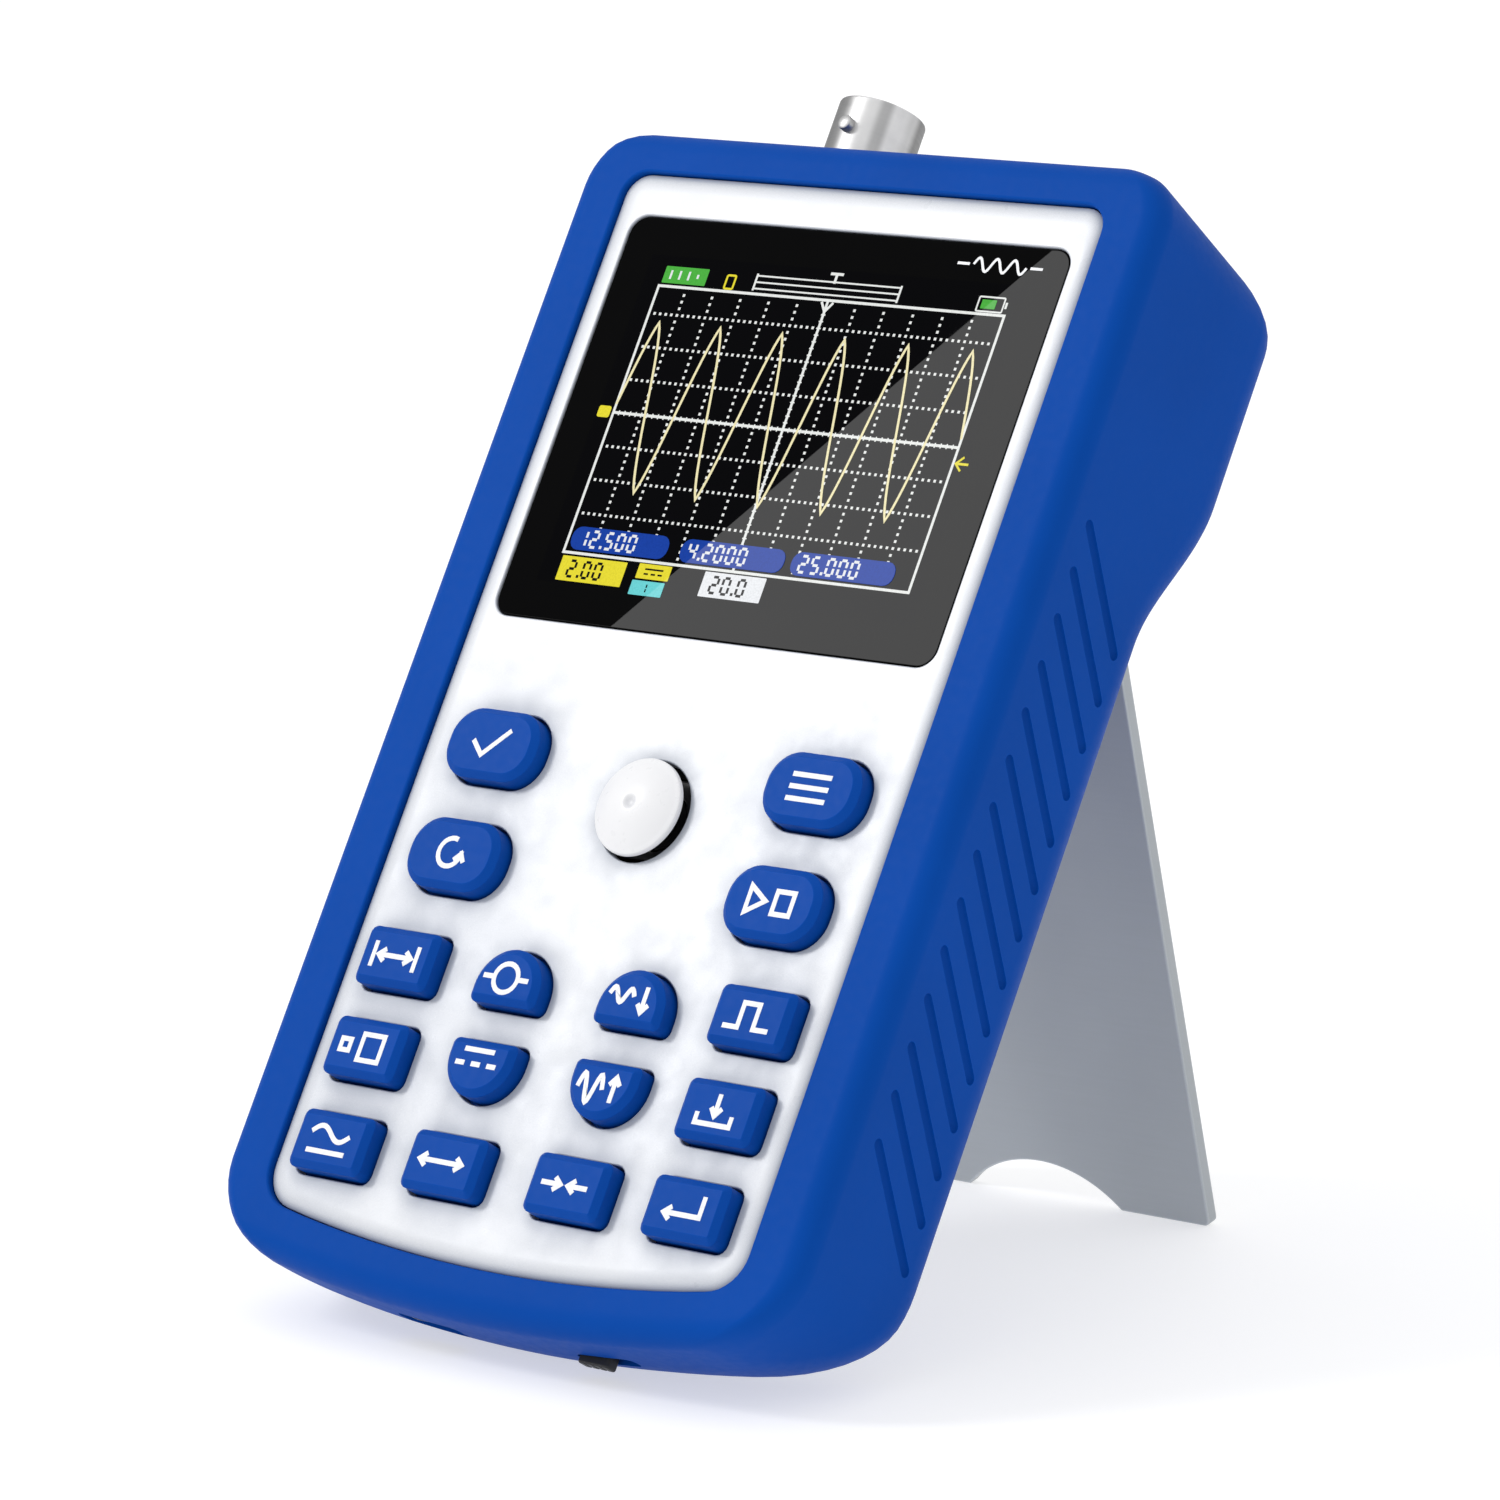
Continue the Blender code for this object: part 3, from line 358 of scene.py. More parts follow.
def add_stroke(work, points, width, front, back, closed=False):
    """A flat band of this width along a line of (x, z) points, from Y = front to Y = back."""
    spots = [Vector(point) for point in points]
    count = len(spots)
    left, right = [], []
    for index, spot in enumerate(spots):
        before = spots[index - 1] if closed or index else None
        after = spots[(index + 1) % count] if closed or index < count - 1 else None
        coming = (spot - before).normalized() if before is not None else (after - spot).normalized()
        going = (after - spot).normalized() if after is not None else coming
        normal = Vector((-coming.y - going.y, coming.x + going.x))
        if normal.length < 0.001:
            normal = Vector((-coming.y, coming.x))
        normal.normalize()
        reach = width / 2 / max(normal.dot(Vector((-going.y, going.x))), 0.5)
        left.append(spot + normal * reach)
        right.append(spot - normal * reach)
    if not closed:
        add_stack(work, [(front, left + right[::-1]), (back, left + right[::-1])])
        return
    rings = []
    for side, y in ((left, front), (right, front), (right, back), (left, back)):
        rings.append([work.verts.new(Vector((x, y, z)) * MM) for x, z in side])
    for near, far in zip(rings, rings[1:] + rings[:1]):
        for index in range(count):
            after = (index + 1) % count
            work.faces.new((near[index], near[after], far[after], far[index]))


def rim(outline, front, radius, side=-1, steps=5, depth=None):
    """Layers of a rounded rim: side -1 rounds a solid's own edge, and +1 is for the cutter of a hole."""
    depth = depth or radius
    layers = []
    for angle in quarter(steps):
        layers.append((front + depth * (1 - math.cos(angle)), outline(side * radius * (1 - math.sin(angle)))))
    return layers


def cutter_layers(outline, front, back, radius):
    """A hole's cutter, flared at the front so that the hole gets a rounded rim."""
    return [(front - 3.0, outline(radius))] + rim(outline, front, radius, 1) + [(back, outline(0.0))]


def mesh_of(name, build):
    """A mesh from a function that fills a bmesh, with its faces turned outwards."""
    work = bmesh.new()
    build(work)
    bmesh.ops.recalc_face_normals(work, faces=work.faces)
    mesh = bpy.data.meshes.new(name)
    work.to_mesh(mesh)
    work.free()
    return mesh


def stack_mesh(name, layers):
    return mesh_of(name, lambda work: add_stack(work, layers))


def turned_mesh(name, profile, steps, closed=False):
    return mesh_of(name, lambda work: add_turned(work, profile, steps, closed))


def rod_mesh(name, radius, low, high, steps=48):
    return turned_mesh(name, [(0, low), (radius, low), (radius, high), (0, high)], steps)


def combine(mesh, other, operation):
    """The mesh left by one Boolean between two meshes, both of which it uses up."""
    item = bpy.data.objects.new(mesh.name, mesh)
    tool = bpy.data.objects.new(other.name, other)
    for each in (item, tool):
        bpy.context.scene.collection.objects.link(each)
    step = item.modifiers.new("cut", "BOOLEAN")
    step.operation = operation
    step.object = tool
    step.solver = "EXACT"
    bpy.context.view_layer.update()
    graph = bpy.context.evaluated_depsgraph_get()
    made = bpy.data.meshes.new_from_object(item.evaluated_get(graph))
    made.name = mesh.name
    made.materials.clear()
    for each in (item, tool):
        data = each.data
        bpy.data.objects.remove(each)
        bpy.data.meshes.remove(data)
    if not made.polygons:
        raise RuntimeError(f"nothing was left of {made.name}")
    return made


def place(name, mesh, material, body, stands_for=(), at=(0, 0, 0), turn=None, even=True):
    """Puts a piece into the leaned frame, rides it on its body and hides the CAD nodes it stands for."""
    local = Matrix.Translation(Vector(at) * MM)
    mesh.transform(LEANED @ (local @ turn if turn else local))
    item = bpy.data.objects.new(name, mesh)
    bpy.context.scene.collection.objects.link(item)
    if material:
        mesh.materials.clear()
        mesh.materials.append(material)
    mesh.shade_smooth()
    mesh.set_sharp_from_angle(angle=SHARP)
    if even:
        step = item.modifiers.new("even_shading", "WEIGHTED_NORMAL")
        step.keep_sharp = True
        step.weight = 90
    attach(item, body)
    if stands_for:
        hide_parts(*stands_for)
    return item


# ------------------------------------------------------------------- finishes


class Finish:
    """One node material, built up from its colour, its roughness and its fine relief."""

    def __init__(self, name, roughness, metallic=0.0, specular=0.5, aligned=LEANED):
        self.material = bpy.data.materials.new(name)
        self.material.use_nodes = True
        self.tree = self.material.node_tree
        self.shader = self.tree.nodes["Principled BSDF"]
        self.shader.inputs["Metallic"].default_value = metallic
        self.shader.inputs["Roughness"].default_value = roughness
        self.shader.inputs["Specular IOR Level"].default_value = specular
        straight = self.tree.nodes.new("ShaderNodeMapping")
        straight.inputs["Location"].default_value = aligned.inverted().translation
        straight.inputs["Rotation"].default_value = aligned.inverted().to_euler("XYZ")
        self.link(self.tree.nodes.new("ShaderNodeTexCoord").outputs["Object"], straight.inputs["Vector"])
        self.spot = straight.outputs["Vector"]

    def link(self, source, target):
        self.tree.links.new(source, target)
        return source

    def noise(self, scale, detail=3.0, stretch=(1, 1, 1)):
        mapping = self.tree.nodes.new("ShaderNodeMapping")
        mapping.inputs["Scale"].default_value = stretch
        self.link(self.spot, mapping.inputs["Vector"])
        texture = self.tree.nodes.new("ShaderNodeTexNoise")
        texture.inputs["Scale"].default_value = scale
        texture.inputs["Detail"].default_value = detail
        self.link(mapping.outputs["Vector"], texture.inputs["Vector"])
        return texture.outputs["Fac"]

    def cells(self, scale):
        texture = self.tree.nodes.new("ShaderNodeTexVoronoi")
        texture.inputs["Scale"].default_value = scale
        self.link(self.spot, texture.inputs["Vector"])
        return texture.outputs["Distance"]

    def spread(self, value, low, high, start=0.3, end=0.7):
        """Maps a value from start..end to low..high."""
        step = self.tree.nodes.new("ShaderNodeMapRange")
        step.inputs["From Min"].default_value = start
        step.inputs["From Max"].default_value = end
        step.inputs["To Min"].default_value = low
        step.inputs["To Max"].default_value = high
        self.link(value, step.inputs["Value"])
        return step.outputs["Result"]

    def math(self, kind, first, second=None):
        step = self.tree.nodes.new("ShaderNodeMath")
        step.operation = kind
        for socket, value in zip(step.inputs, (first, second)):
            if isinstance(value, (int, float)):
                socket.default_value = value
            elif value is not None:
                self.link(value, socket)
        return step.outputs[0]

    def mixed(self, share, first, second):
        """A colour between two, each a colour or the output of another step."""
        step = self.tree.nodes.new("ShaderNodeMix")
        step.data_type = "RGBA"
        self.link(share, step.inputs["Factor"])
        for socket, value in zip([s for s in step.inputs if s.type == "RGBA"], (first, second)):
            if isinstance(value, bpy.types.NodeSocket):
                self.link(value, socket)
            else:
                socket.default_value = (*value, 1.0)
        return [s for s in step.outputs if s.type == "RGBA"][0]

    def edges(self, radius):
        """1 along sharp edges and 0 away from them."""
        soft = self.tree.nodes.new("ShaderNodeBevel")
        soft.samples = 4
        soft.inputs["Radius"].default_value = radius * MM
        plain = self.tree.nodes.new("ShaderNodeNewGeometry")
        dot = self.tree.nodes.new("ShaderNodeVectorMath")
        dot.operation = "DOT_PRODUCT"
        self.link(soft.outputs["Normal"], dot.inputs[0])
        self.link(plain.outputs["Normal"], dot.inputs[1])
        return self.spread(dot.outputs["Value"], 1.0, 0.0, 0.90, 1.0)

    def openness(self, distance):
        """1 on open surfaces and less in hollows and beside things that stand up, up to this distance."""
        shelter = self.tree.nodes.new("ShaderNodeAmbientOcclusion")
        shelter.samples = 8
        shelter.inputs["Distance"].default_value = distance * MM
        return shelter.outputs["AO"]

    def around(self, centre):
        """Angle about an axis along Z through this (x, y) in millimetres, as a share of one turn."""
        moved = self.tree.nodes.new("ShaderNodeVectorMath")
        moved.operation = "SUBTRACT"
        self.link(self.spot, moved.inputs[0])
        moved.inputs[1].default_value = (centre[0] * MM, centre[1] * MM, 0.0)
        parts = self.tree.nodes.new("ShaderNodeSeparateXYZ")
        self.link(moved.outputs[0], parts.inputs[0])
        angle = self.math("ARCTAN2", parts.outputs["Y"], parts.outputs["X"])
        return self.spread(angle, 0.0, 1.0, -math.pi, math.pi)

    def ramp(self, value, stops):
        """Tones along a value, given as (share, tone)."""
        band = self.tree.nodes.new("ShaderNodeValToRGB")
        band.color_ramp.interpolation = "EASE"
        elements = band.color_ramp.elements
        while len(elements) < len(stops):
            elements.new(0.5)
        for element, (share, tone) in zip(elements, stops):
            element.position = share
            element.color = (tone, tone, tone, 1.0)
        self.link(value, band.inputs["Fac"])
        return band.outputs["Color"]

    def colour(self, value):
        return self.link(value, self.shader.inputs["Base Color"])

    def roughness(self, value):
        return self.link(value, self.shader.inputs["Roughness"])

    def relief(self, *heights):
        """Stacks bumps given as (height, depth in millimetres)."""
        normal = None
        for height, depth in heights:
            bump = self.tree.nodes.new("ShaderNodeBump")
            bump.inputs["Strength"].default_value = 1.0
            bump.inputs["Distance"].default_value = depth * MM
            self.link(height, bump.inputs["Height"])
            if normal:
                self.link(normal, bump.inputs["Normal"])
            normal = bump.outputs["Normal"]
        self.link(normal, self.shader.inputs["Normal"])


def shade(colour, factor):
    return tuple(min(part * factor, 1.0) for part in colour)


def moulded(name, colour, roughness, grain=0.004, grain_scale=2600, wear_and_highlight=1.35, specular=0.4, hollow=0.0):
    """Moulded plastic: faint clouding, a fine spark-eroded grain, and edges paler in patches, partly rubbed
    wear and partly a painted highlight.

    With a hollow distance, painted shade greys the recesses narrower than that and the surface beside things
    that stand over it.
    """
    made = bpy.data.materials.get(name)
    if made:
        return made
    finish = Finish(name, roughness, specular=specular)
    clouds = finish.noise(45, 4)
    fine = finish.noise(grain_scale, 2)
    speck = finish.noise(900, 3)
    base = finish.mixed(finish.spread(clouds, 0, 1), shade(colour, 0.955), shade(colour, 1.045))
    # Painted shade: an occlusion mask mixes in a greyer colour in recesses and beside raised parts.
    if hollow:
        painted_shade = (colour[0] * 0.62, colour[1] * 0.64, colour[2] * 0.68)
        base = finish.mixed(finish.spread(finish.openness(hollow), 0, 1, 0.5, 0.98), painted_shade, base)
    # Edges paler in patches: partly rubbed wear, partly a painted highlight where the edges would catch the
    # light.
    worn_and_highlit = finish.math("MULTIPLY", finish.edges(0.35), finish.spread(speck, 0.1, 0.55))
    finish.colour(finish.mixed(worn_and_highlit, base, shade(colour, wear_and_highlight)))
    rough = finish.spread(speck, roughness - 0.04, roughness + 0.05)
    finish.roughness(finish.math("SUBTRACT", rough, finish.math("MULTIPLY", worn_and_highlit, 0.12)))
    finish.relief((fine, grain), (finish.noise(140, 2), 0.01))
    return finish.material


def painted_panel(colour):
    """White enamel on the panel: very fine orange peel, a cool tint, fine dust specks, and painted shade
    between the keys and beside the rims that stand over it.
    """
    made = bpy.data.materials.get("panel_enamel")
    if made:
        return made
    finish = Finish("panel_enamel", 0.32)
    clouds = finish.noise(38, 3)
    cool = (colour[0] * 0.965, colour[1] * 0.975, colour[2])
    base = finish.mixed(finish.spread(clouds, 0, 1), colour, cool)
    dust = finish.spread(finish.noise(5200, 1), 0, 0.25, 0.66, 0.8)
    speckled = finish.mixed(dust, base, shade(colour, 0.9))
    # Painted shade: an occlusion mask over 12 mm greys the enamel between the keys and along the rims.
    painted_shade = (colour[0] * 0.52, colour[1] * 0.55, colour[2] * 0.61)
    finish.colour(finish.mixed(finish.spread(finish.openness(12.0), 0, 1, 0.82, 0.99), painted_shade, speckled))
    finish.roughness(finish.spread(finish.noise(260, 3), 0.27, 0.37))
    finish.relief((finish.noise(900, 2), 0.004), (finish.noise(60, 2), 0.02))
    return finish.material


def plated(name, colour, roughness, rings, axis=None, reflection_streaks=()):
    """Turned and plated metal: fine tool rings, a little tarnish and, on request, painted reflection streaks
    along its axis.
    """
    made = bpy.data.materials.get(name)
    if made:
        return made
    finish = Finish(name, roughness, metallic=1.0)
    tarnish = finish.noise(220, 4)
    base = finish.mixed(finish.spread(tarnish, 0, 1, 0.35, 0.75), colour, shade(colour, 0.84))
    # Edges paler: partly worn plating, partly a painted highlight along them.
    worn_and_highlit = finish.edges(0.3)
    base = finish.mixed(finish.math("MULTIPLY", worn_and_highlit, 0.5), base, shade(colour, 1.2))
    # Painted reflection: tones by angle round the axis darken the colour in bands, standing in for the light
    # and dark surroundings the metal would mirror.
    if axis:
        stops = [((angle + 180) / 360, tone) for angle, tone in reflection_streaks]
        base = finish.mixed(finish.ramp(finish.around(axis), stops), shade(colour, 0.12), base)
    finish.colour(base)
    lathe = finish.noise(900, 2, rings)
    finish.roughness(finish.spread(finish.noise(700, 3, rings), roughness - 0.06, roughness + 0.08))
    finish.relief((lathe, 0.0035))
    return finish.material


def brushed(name, colour, roughness, metallic, stretch, aligned=LEANED):
    """Satin metal sheet: long brush marks, faint handling marks, and edges painted much brighter as a painted
    highlight.
    """
    made = bpy.data.materials.get(name)
    if made:
        return made
    finish = Finish(name, roughness, metallic=metallic, aligned=aligned)
    brush = finish.noise(300, 3, stretch)
    clouds = finish.noise(30, 3)
    base = finish.mixed(finish.spread(clouds, 0, 1), shade(colour, 0.97), shade(colour, 1.03))
    streak = finish.mixed(finish.spread(brush, 0, 0.3), base, shade(colour, 1.12))
    # Painted highlight: the edges are painted much brighter, as if they caught more light than the flats.
    finish.colour(finish.mixed(finish.edges(0.35), streak, shade(colour, 1.7)))
    handled = finish.spread(finish.noise(75, 4), -0.04, 0.06)
    finish.roughness(finish.math("ADD", finish.spread(brush, roughness - 0.05, roughness + 0.05), handled))
    finish.relief((brush, 0.003))
    return finish.material


def glass_finish(colours):
    """Black-backed glass with the dark display area showing through, and a trace of handling film."""
    made = bpy.data.materials.get("display_glass_finish")
    if made:
        return made
    finish = Finish("display_glass_finish", 0.004, specular=0.03)
    parts = finish.tree.nodes.new("ShaderNodeSeparateXYZ")
    finish.link(finish.spot, parts.inputs[0])
    across = finish.math("ABSOLUTE", parts.outputs["X"])
    height = finish.math("SUBTRACT", parts.outputs["Z"], middle("display_glass").z * MM)
    over = finish.math("ABSOLUTE", height)
    past_side = finish.math("SUBTRACT", across, SCREEN[0] * MM)
    past_end = finish.math("SUBTRACT", over, SCREEN[1] * MM)
    border = finish.spread(finish.math("MAXIMUM", past_side, past_end), 0, 1, -0.00008, 0.00008)
    film = finish.noise(90, 4)
    edge = finish.mixed(finish.spread(film, 0, 1), colours.glass, shade(colours.glass, 1.3))
    finish.colour(finish.mixed(border, colours.screen, edge))
    finish.roughness(finish.spread(film, 0.0, 0.008))
    return finish.material


def glowing(name, colour, strength=1.0):
    """A lit part of the display's picture: small cells with a dark line between them."""
    made = bpy.data.materials.get(name)
    if made:
        return made
    finish = Finish(name, 0.004, specular=0.03)
    cells = finish.cells(4200)
    lit = finish.mixed(finish.spread(cells, 0, 0.35, 0.3, 0.8), colour, shade(colour, 0.7))
    finish.shader.inputs["Base Color"].default_value = (0.0, 0.0, 0.0, 1.0)
    finish.link(lit, finish.shader.inputs["Emission Color"])
    finish.shader.inputs["Emission Strength"].default_value = strength
    return finish.material


def printed(name, colour):
    """Pad-printed ink: slightly uneven in tone and gloss."""
    made = bpy.data.materials.get(name)
    if made:
        return made
    finish = Finish(name, 0.45)
    ink = finish.noise(1500, 3)
    finish.colour(finish.mixed(finish.spread(ink, 0, 1, 0.35, 0.75), colour, shade(colour, 0.9)))
    finish.roughness(finish.spread(ink, 0.4, 0.55))
    finish.relief((finish.noise(4000, 2), 0.002))
    return finish.material


def circuit_finish():
    """Solder mask over copper: darker traces show through as a fine pattern."""
    finish = Finish("solder_mask", 0.4)
    tracks = finish.spread(finish.cells(300), 0, 1, 0.25, 0.32)
    finish.colour(finish.mixed(tracks, (0.012, 0.14, 0.05), (0.006, 0.07, 0.03)))
    finish.roughness(finish.spread(finish.noise(400), 0.32, 0.5))
    finish.relief((tracks, 0.03))
    return finish.material


def dress(node, material):
    """Gives a CAD node that stays in view its finish."""
    item = frame["nodes"][node]
    item.data.materials.clear()
    item.data.materials.append(material)


# ----------------------------------------------------------------- blue body


def corner_drop(distance, radius):
    """How far a rounded end of this radius draws in, this far from the end."""
    if distance >= radius:
        return 0.0
    return radius - math.sqrt(radius * radius - (radius - max(distance, 0.0)) ** 2)


def rear_depth(z):
    """Depth of the back: thick behind the display, thinner behind the keypad."""
    t = min(max((z - STEP_BOTTOM) / (STEP_TOP - STEP_BOTTOM), 0.0), 1.0)
    return THIN_DEPTH + (THICK_DEPTH - THIN_DEPTH) * t * t * (3 - 2 * t)


def bent(x, y, z):
    """Curves the top end back and bows the bottom end, fading out towards the middle."""
    up = min(max((z - BODY_LENGTH + TOP_BLEND) / TOP_BLEND, 0.0), 1.0)
    down = min(max(1 - z / BOTTOM_BLEND, 0.0), 1.0)
    drop = TOP_DROP * (y / THICK_DEPTH) ** 2
    bow = x * x / (2 * BOTTOM_ARC)
    return Vector((x, y, z - drop * up + bow * down)) * MM


def chain(half, edge, radius, side, columns, steps):
    """One long side of a section from left to right: corner, straight run, corner."""
    inner = half - radius
    left = [(-inner - radius * math.cos(a), edge + side * radius * (1 - math.sin(a))) for a in quarter(steps)]
    run = [(-inner + 2 * inner * step / columns, edge) for step in range(1, columns)]
    return left + run + [(-x, y) for x, y in reversed(left)]


def stations(inset, steps):
    """Heights of the sections: close together at both ends and across the step of the back."""
    low = [BOTTOM_REAR_RADIUS * (1 - math.cos(a)) + inset for a in quarter(steps + 4)]
    high = [BODY_LENGTH - inset - TOP_CORNER_RADIUS * (1 - math.cos(a)) for a in quarter(steps)]
    slope = [STEP_BOTTOM + (STEP_TOP - STEP_BOTTOM) * step / (2 * steps) for step in range(2 * steps + 1)]
    even = [BOTTOM_REAR_RADIUS + inset + 6 * step for step in range(1, 14)]
    upper = [BODY_LENGTH - TOP_BLEND + 5 * step for step in range(5)]
    return sorted(low + slope + even + upper + high)


def add_body(work, wall, front_wall, columns, steps):
    """A loft of rounded sections along Z, drawn in on every side by the wall."""
    rings = []
    for z in stations(wall, steps):
        above = BODY_LENGTH - wall - z
        below = z - wall
        half = HALF_WIDTH - wall
        half -= corner_drop(above, TOP_CORNER_RADIUS - wall)
        half -= corner_drop(below, BOTTOM_CORNER_RADIUS - wall)
        edge = max(FRONT_EDGE_RADIUS - front_wall, 0.8)
        front = front_wall + corner_drop(min(above, below), edge)
        rear = rear_depth(z) - wall - corner_drop(above, TOP_REAR_RADIUS - wall)
        rear -= corner_drop(below, BOTTOM_REAR_RADIUS - wall)
        most = (rear - front) * 0.48
        fore = chain(half, front, min(edge, most), 1, columns, steps)
        aft = chain(half, rear, min(REAR_EDGE_RADIUS - wall, most), -1, columns, steps)
        rings.append([[work.verts.new(bent(x, y, z)) for x, y in line] for line in (fore, aft)])
    for lower, upper in zip(rings, rings[1:]):
        low = lower[0] + lower[1][::-1]
        high = upper[0] + upper[1][::-1]
        for index in range(len(low)):
            after = (index + 1) % len(low)
            work.faces.new((low[index], low[after], high[after], high[index]))
    for fore, aft in (rings[0], rings[-1]):
        for index in range(len(fore) - 1):
            work.faces.new((fore[index], fore[index + 1], aft[index + 1], aft[index]))


def pocket_mesh(name, grow):
    """The space around the hinge, drawn out by grow on every closed side."""
    half, floor, low, high = POCKET
    outline = box_outline(half + grow, (high - low) / 2 + grow, 1.0, 4, (0, (low + high) / 2))
    return stack_mesh(name, [(floor - grow, outline), (THICK_DEPTH + 9, outline)])


def cover_prism(name, shrink):
    low, high = COVER_LOW.z - GAP, COVER_HIGH.z + GAP
    half = COVER_HIGH.x + GAP - shrink
    outline = box_outline(half, (high - low) / 2 - shrink, COVER_CORNER - shrink, 10, (0, (low + high) / 2))
    return stack_mesh(name, [(COVER_FRONT, outline), (THICK_DEPTH + 9, outline)])


def shell_mesh():
    """The hollow body with its hinge pocket, before it is parted into housing and cover."""
    kept = bpy.data.meshes.get("body_shell")
    if kept:
        return kept.copy()
    cavity = mesh_of("cavity", lambda work: add_body(work, WALL, FRONT_WALL, 6, 4))
    cavity = combine(cavity, pocket_mesh("pocket_walls", WALL), "DIFFERENCE")
    shell = mesh_of("shell", lambda work: add_body(work, 0.0, 0.0, 20, 10))
    shell = combine(shell, cavity, "DIFFERENCE")
    shell = combine(shell, pocket_mesh("pocket", 0.0), "DIFFERENCE")
    shell.name = "body_shell"
    return shell.copy()


def add_grooves(work, sizes):
    """Slanted grip grooves on both side faces."""
    radius = sizes.groove_radius / MM
    offset = radius - sizes.groove_depth / MM
    for side in (-1, 1):
        x = side * (HALF_WIDTH + offset)
        for index in range(sizes.groove_count):
            drop = index * sizes.groove_pitch / MM
            front = (x, GROOVE_FRONT[0], GROOVE_FRONT[1] - drop)
            back = (x, GROOVE_BACK[0], GROOVE_BACK[1] - drop)
            add_capsule(work, front, back, radius)


def body_finish(colours):
    return moulded("soft_blue_plastic", colours.body, 0.5, specular=0.045)


def build_housing(sizes, colours):
    mesh = combine(shell_mesh(), cover_prism("rear_opening", 0.0), "DIFFERENCE")
    rim_radius = sizes.rim_radius / MM
    seat = cutter_layers(lambda grow: panel_outline(GAP / 2 + grow), 0.0, PANEL_HIGH.y + GAP, rim_radius)
    mesh = combine(mesh, stack_mesh("panel_seat", seat), "DIFFERENCE")
    inside = panel_outline(GAP - LEDGE_WIDTH)
    opening = stack_mesh("front_opening", [(-2.0, inside), (FRONT_WALL + 2, inside)])
    mesh = combine(mesh, opening, "DIFFERENCE")
    mesh = combine(mesh, mesh_of("grooves", lambda work: add_grooves(work, sizes)), "DIFFERENCE")
    barrel = middle("socket_insulator")
    hole = rod_mesh("socket_hole", SOCKET_HOLE, BODY_LENGTH - 10, BODY_LENGTH + 4, 64)
    hole.transform(Matrix.Translation(Vector((barrel.x, barrel.y, 0)) * MM))
    mesh = combine(mesh, hole, "DIFFERENCE")
    knob = middle("switch_knob")
    port = middle("charging_port")
    for name, x, y, (half_width, half_depth) in (
        ("switch_slot", knob.x + 1.5, knob.y, SWITCH_SLOT),
        ("port_hole", port.x, port.y, PORT_HOLE),
    ):
        outline = box_outline(half_width, half_depth, min(half_depth * 0.8, 1.4), 5)
        slot = stack_mesh(name, [(-8.0, outline), (6.0, outline)])
        slot.transform(Matrix.Translation(Vector((x, y, 0)) * MM) @ Matrix.Rotation(math.pi / 2, 4, "X"))
        mesh = combine(mesh, slot, "DIFFERENCE")
    place("body_shell_front", mesh, body_finish(colours), "instrument", ["housing"])


def along_y(mesh, x, y, z):
    """Turns a mesh made about Z so that its axis points out of the back, and moves it there."""
    mesh.transform(Matrix.Translation(Vector((x, y, z)) * MM) @ Matrix.Rotation(-math.pi / 2, 4, "X"))
    return mesh


def build_cover(sizes, colours):
    mesh = combine(shell_mesh(), cover_prism("cover_outline", GAP), "INTERSECT")
    for index in range(1, 5):
        low, high = span(f"cover_screw_{index}")
        centre = (low + high) / 2
        floor = high.y - HEAD_HEIGHT
        seat = rod_mesh("head_seat", HEAD_SEAT, -GAP / 2, 8.0)
        mesh = combine(mesh, along_y(seat, centre.x, floor, centre.z), "DIFFERENCE")
        shank = rod_mesh("shank_hole", SHANK_HOLE, -8.0, 8.0, 24)
        mesh = combine(mesh, along_y(shank, centre.x, floor, centre.z), "DIFFERENCE")
    bore = rod_mesh("pin_holes", PIN_HOLE, -31.5, 31.5, 24)
    bore.transform(Matrix.Translation(Vector(HINGE) * MM) @ Matrix.Rotation(math.pi / 2, 4, "Y"))
    mesh = combine(mesh, bore, "DIFFERENCE")
    for name in ("stand_bumper_left", "stand_bumper_right"):
        centre = middle(name)
        seat = rod_mesh("bumper_seat", PAD_RADIUS + GAP, THIN_DEPTH - 0.4, THIN_DEPTH + 3)
        mesh = combine(mesh, along_y(seat, centre.x, 0, centre.z), "DIFFERENCE")
    place("body_shell_back", mesh, body_finish(colours), "instrument", ["rear_cover"])


# ---------------------------------------------------------------------- keys


def key_names():
    """Every key with its kind: oval, bar or dome."""
    names = [(f"key_oval_{side}_{row}", "oval") for side in ("left", "right") for row in (1, 2)]
    for row in (1, 2, 3):
        for column in (1, 2, 3, 4):
            dome = row < 3 and column in (2, 3)
            names.append((f"key_r{row}_c{column}", "dome" if dome else "bar"))
    return names


def dome_outline(grow, upside_down):
    """A flat lower side with a half-round upper side, its lower corners a little rounded."""
    half, low, soft = 5.0, -3.5, 0.9
    radius = soft + grow
    points = arc((-half + soft, low + soft), radius, 180, 270, 5)
    points += arc((half - soft, low + soft), radius, 270, 360, 5)
    points += arc((0.0, -1.5), half + grow, 0, 180, 28)
    return [(-x, -z) for x, z in points] if upside_down else points


def key_outline(name, kind, grow):
    if kind == "dome":
        return dome_outline(grow, "_r2_" in name)
    half_width, half_height, radius = BAR_KEY if kind == "bar" else OVAL_KEY
    steps = 10 if kind == "oval" else 4
    return box_outline(half_width + grow, half_height + grow, radius + grow, steps)


def key_layers(name, kind, rise):
    """Flat top, chamfer with softened edges, straight side, and the flange behind the panel."""
    low, high = span(name)
    front = low.y
    flange = PANEL_HIGH.y + GAP
    steps = [(-1.0, 0.0), (-0.94, 0.015), (-0.88, 0.06), (-0.09, 0.74), (-0.03, 0.81), (0.0, 0.92)]
    layers = [(front + rise * down, key_outline(name, kind, rise * grow)) for grow, down in steps]
    wide = key_outline(name, kind, KEY_FLANGE)
    return layers + [(flange, key_outline(name, kind, 0.0)), (flange, wide), (high.y, wide)]


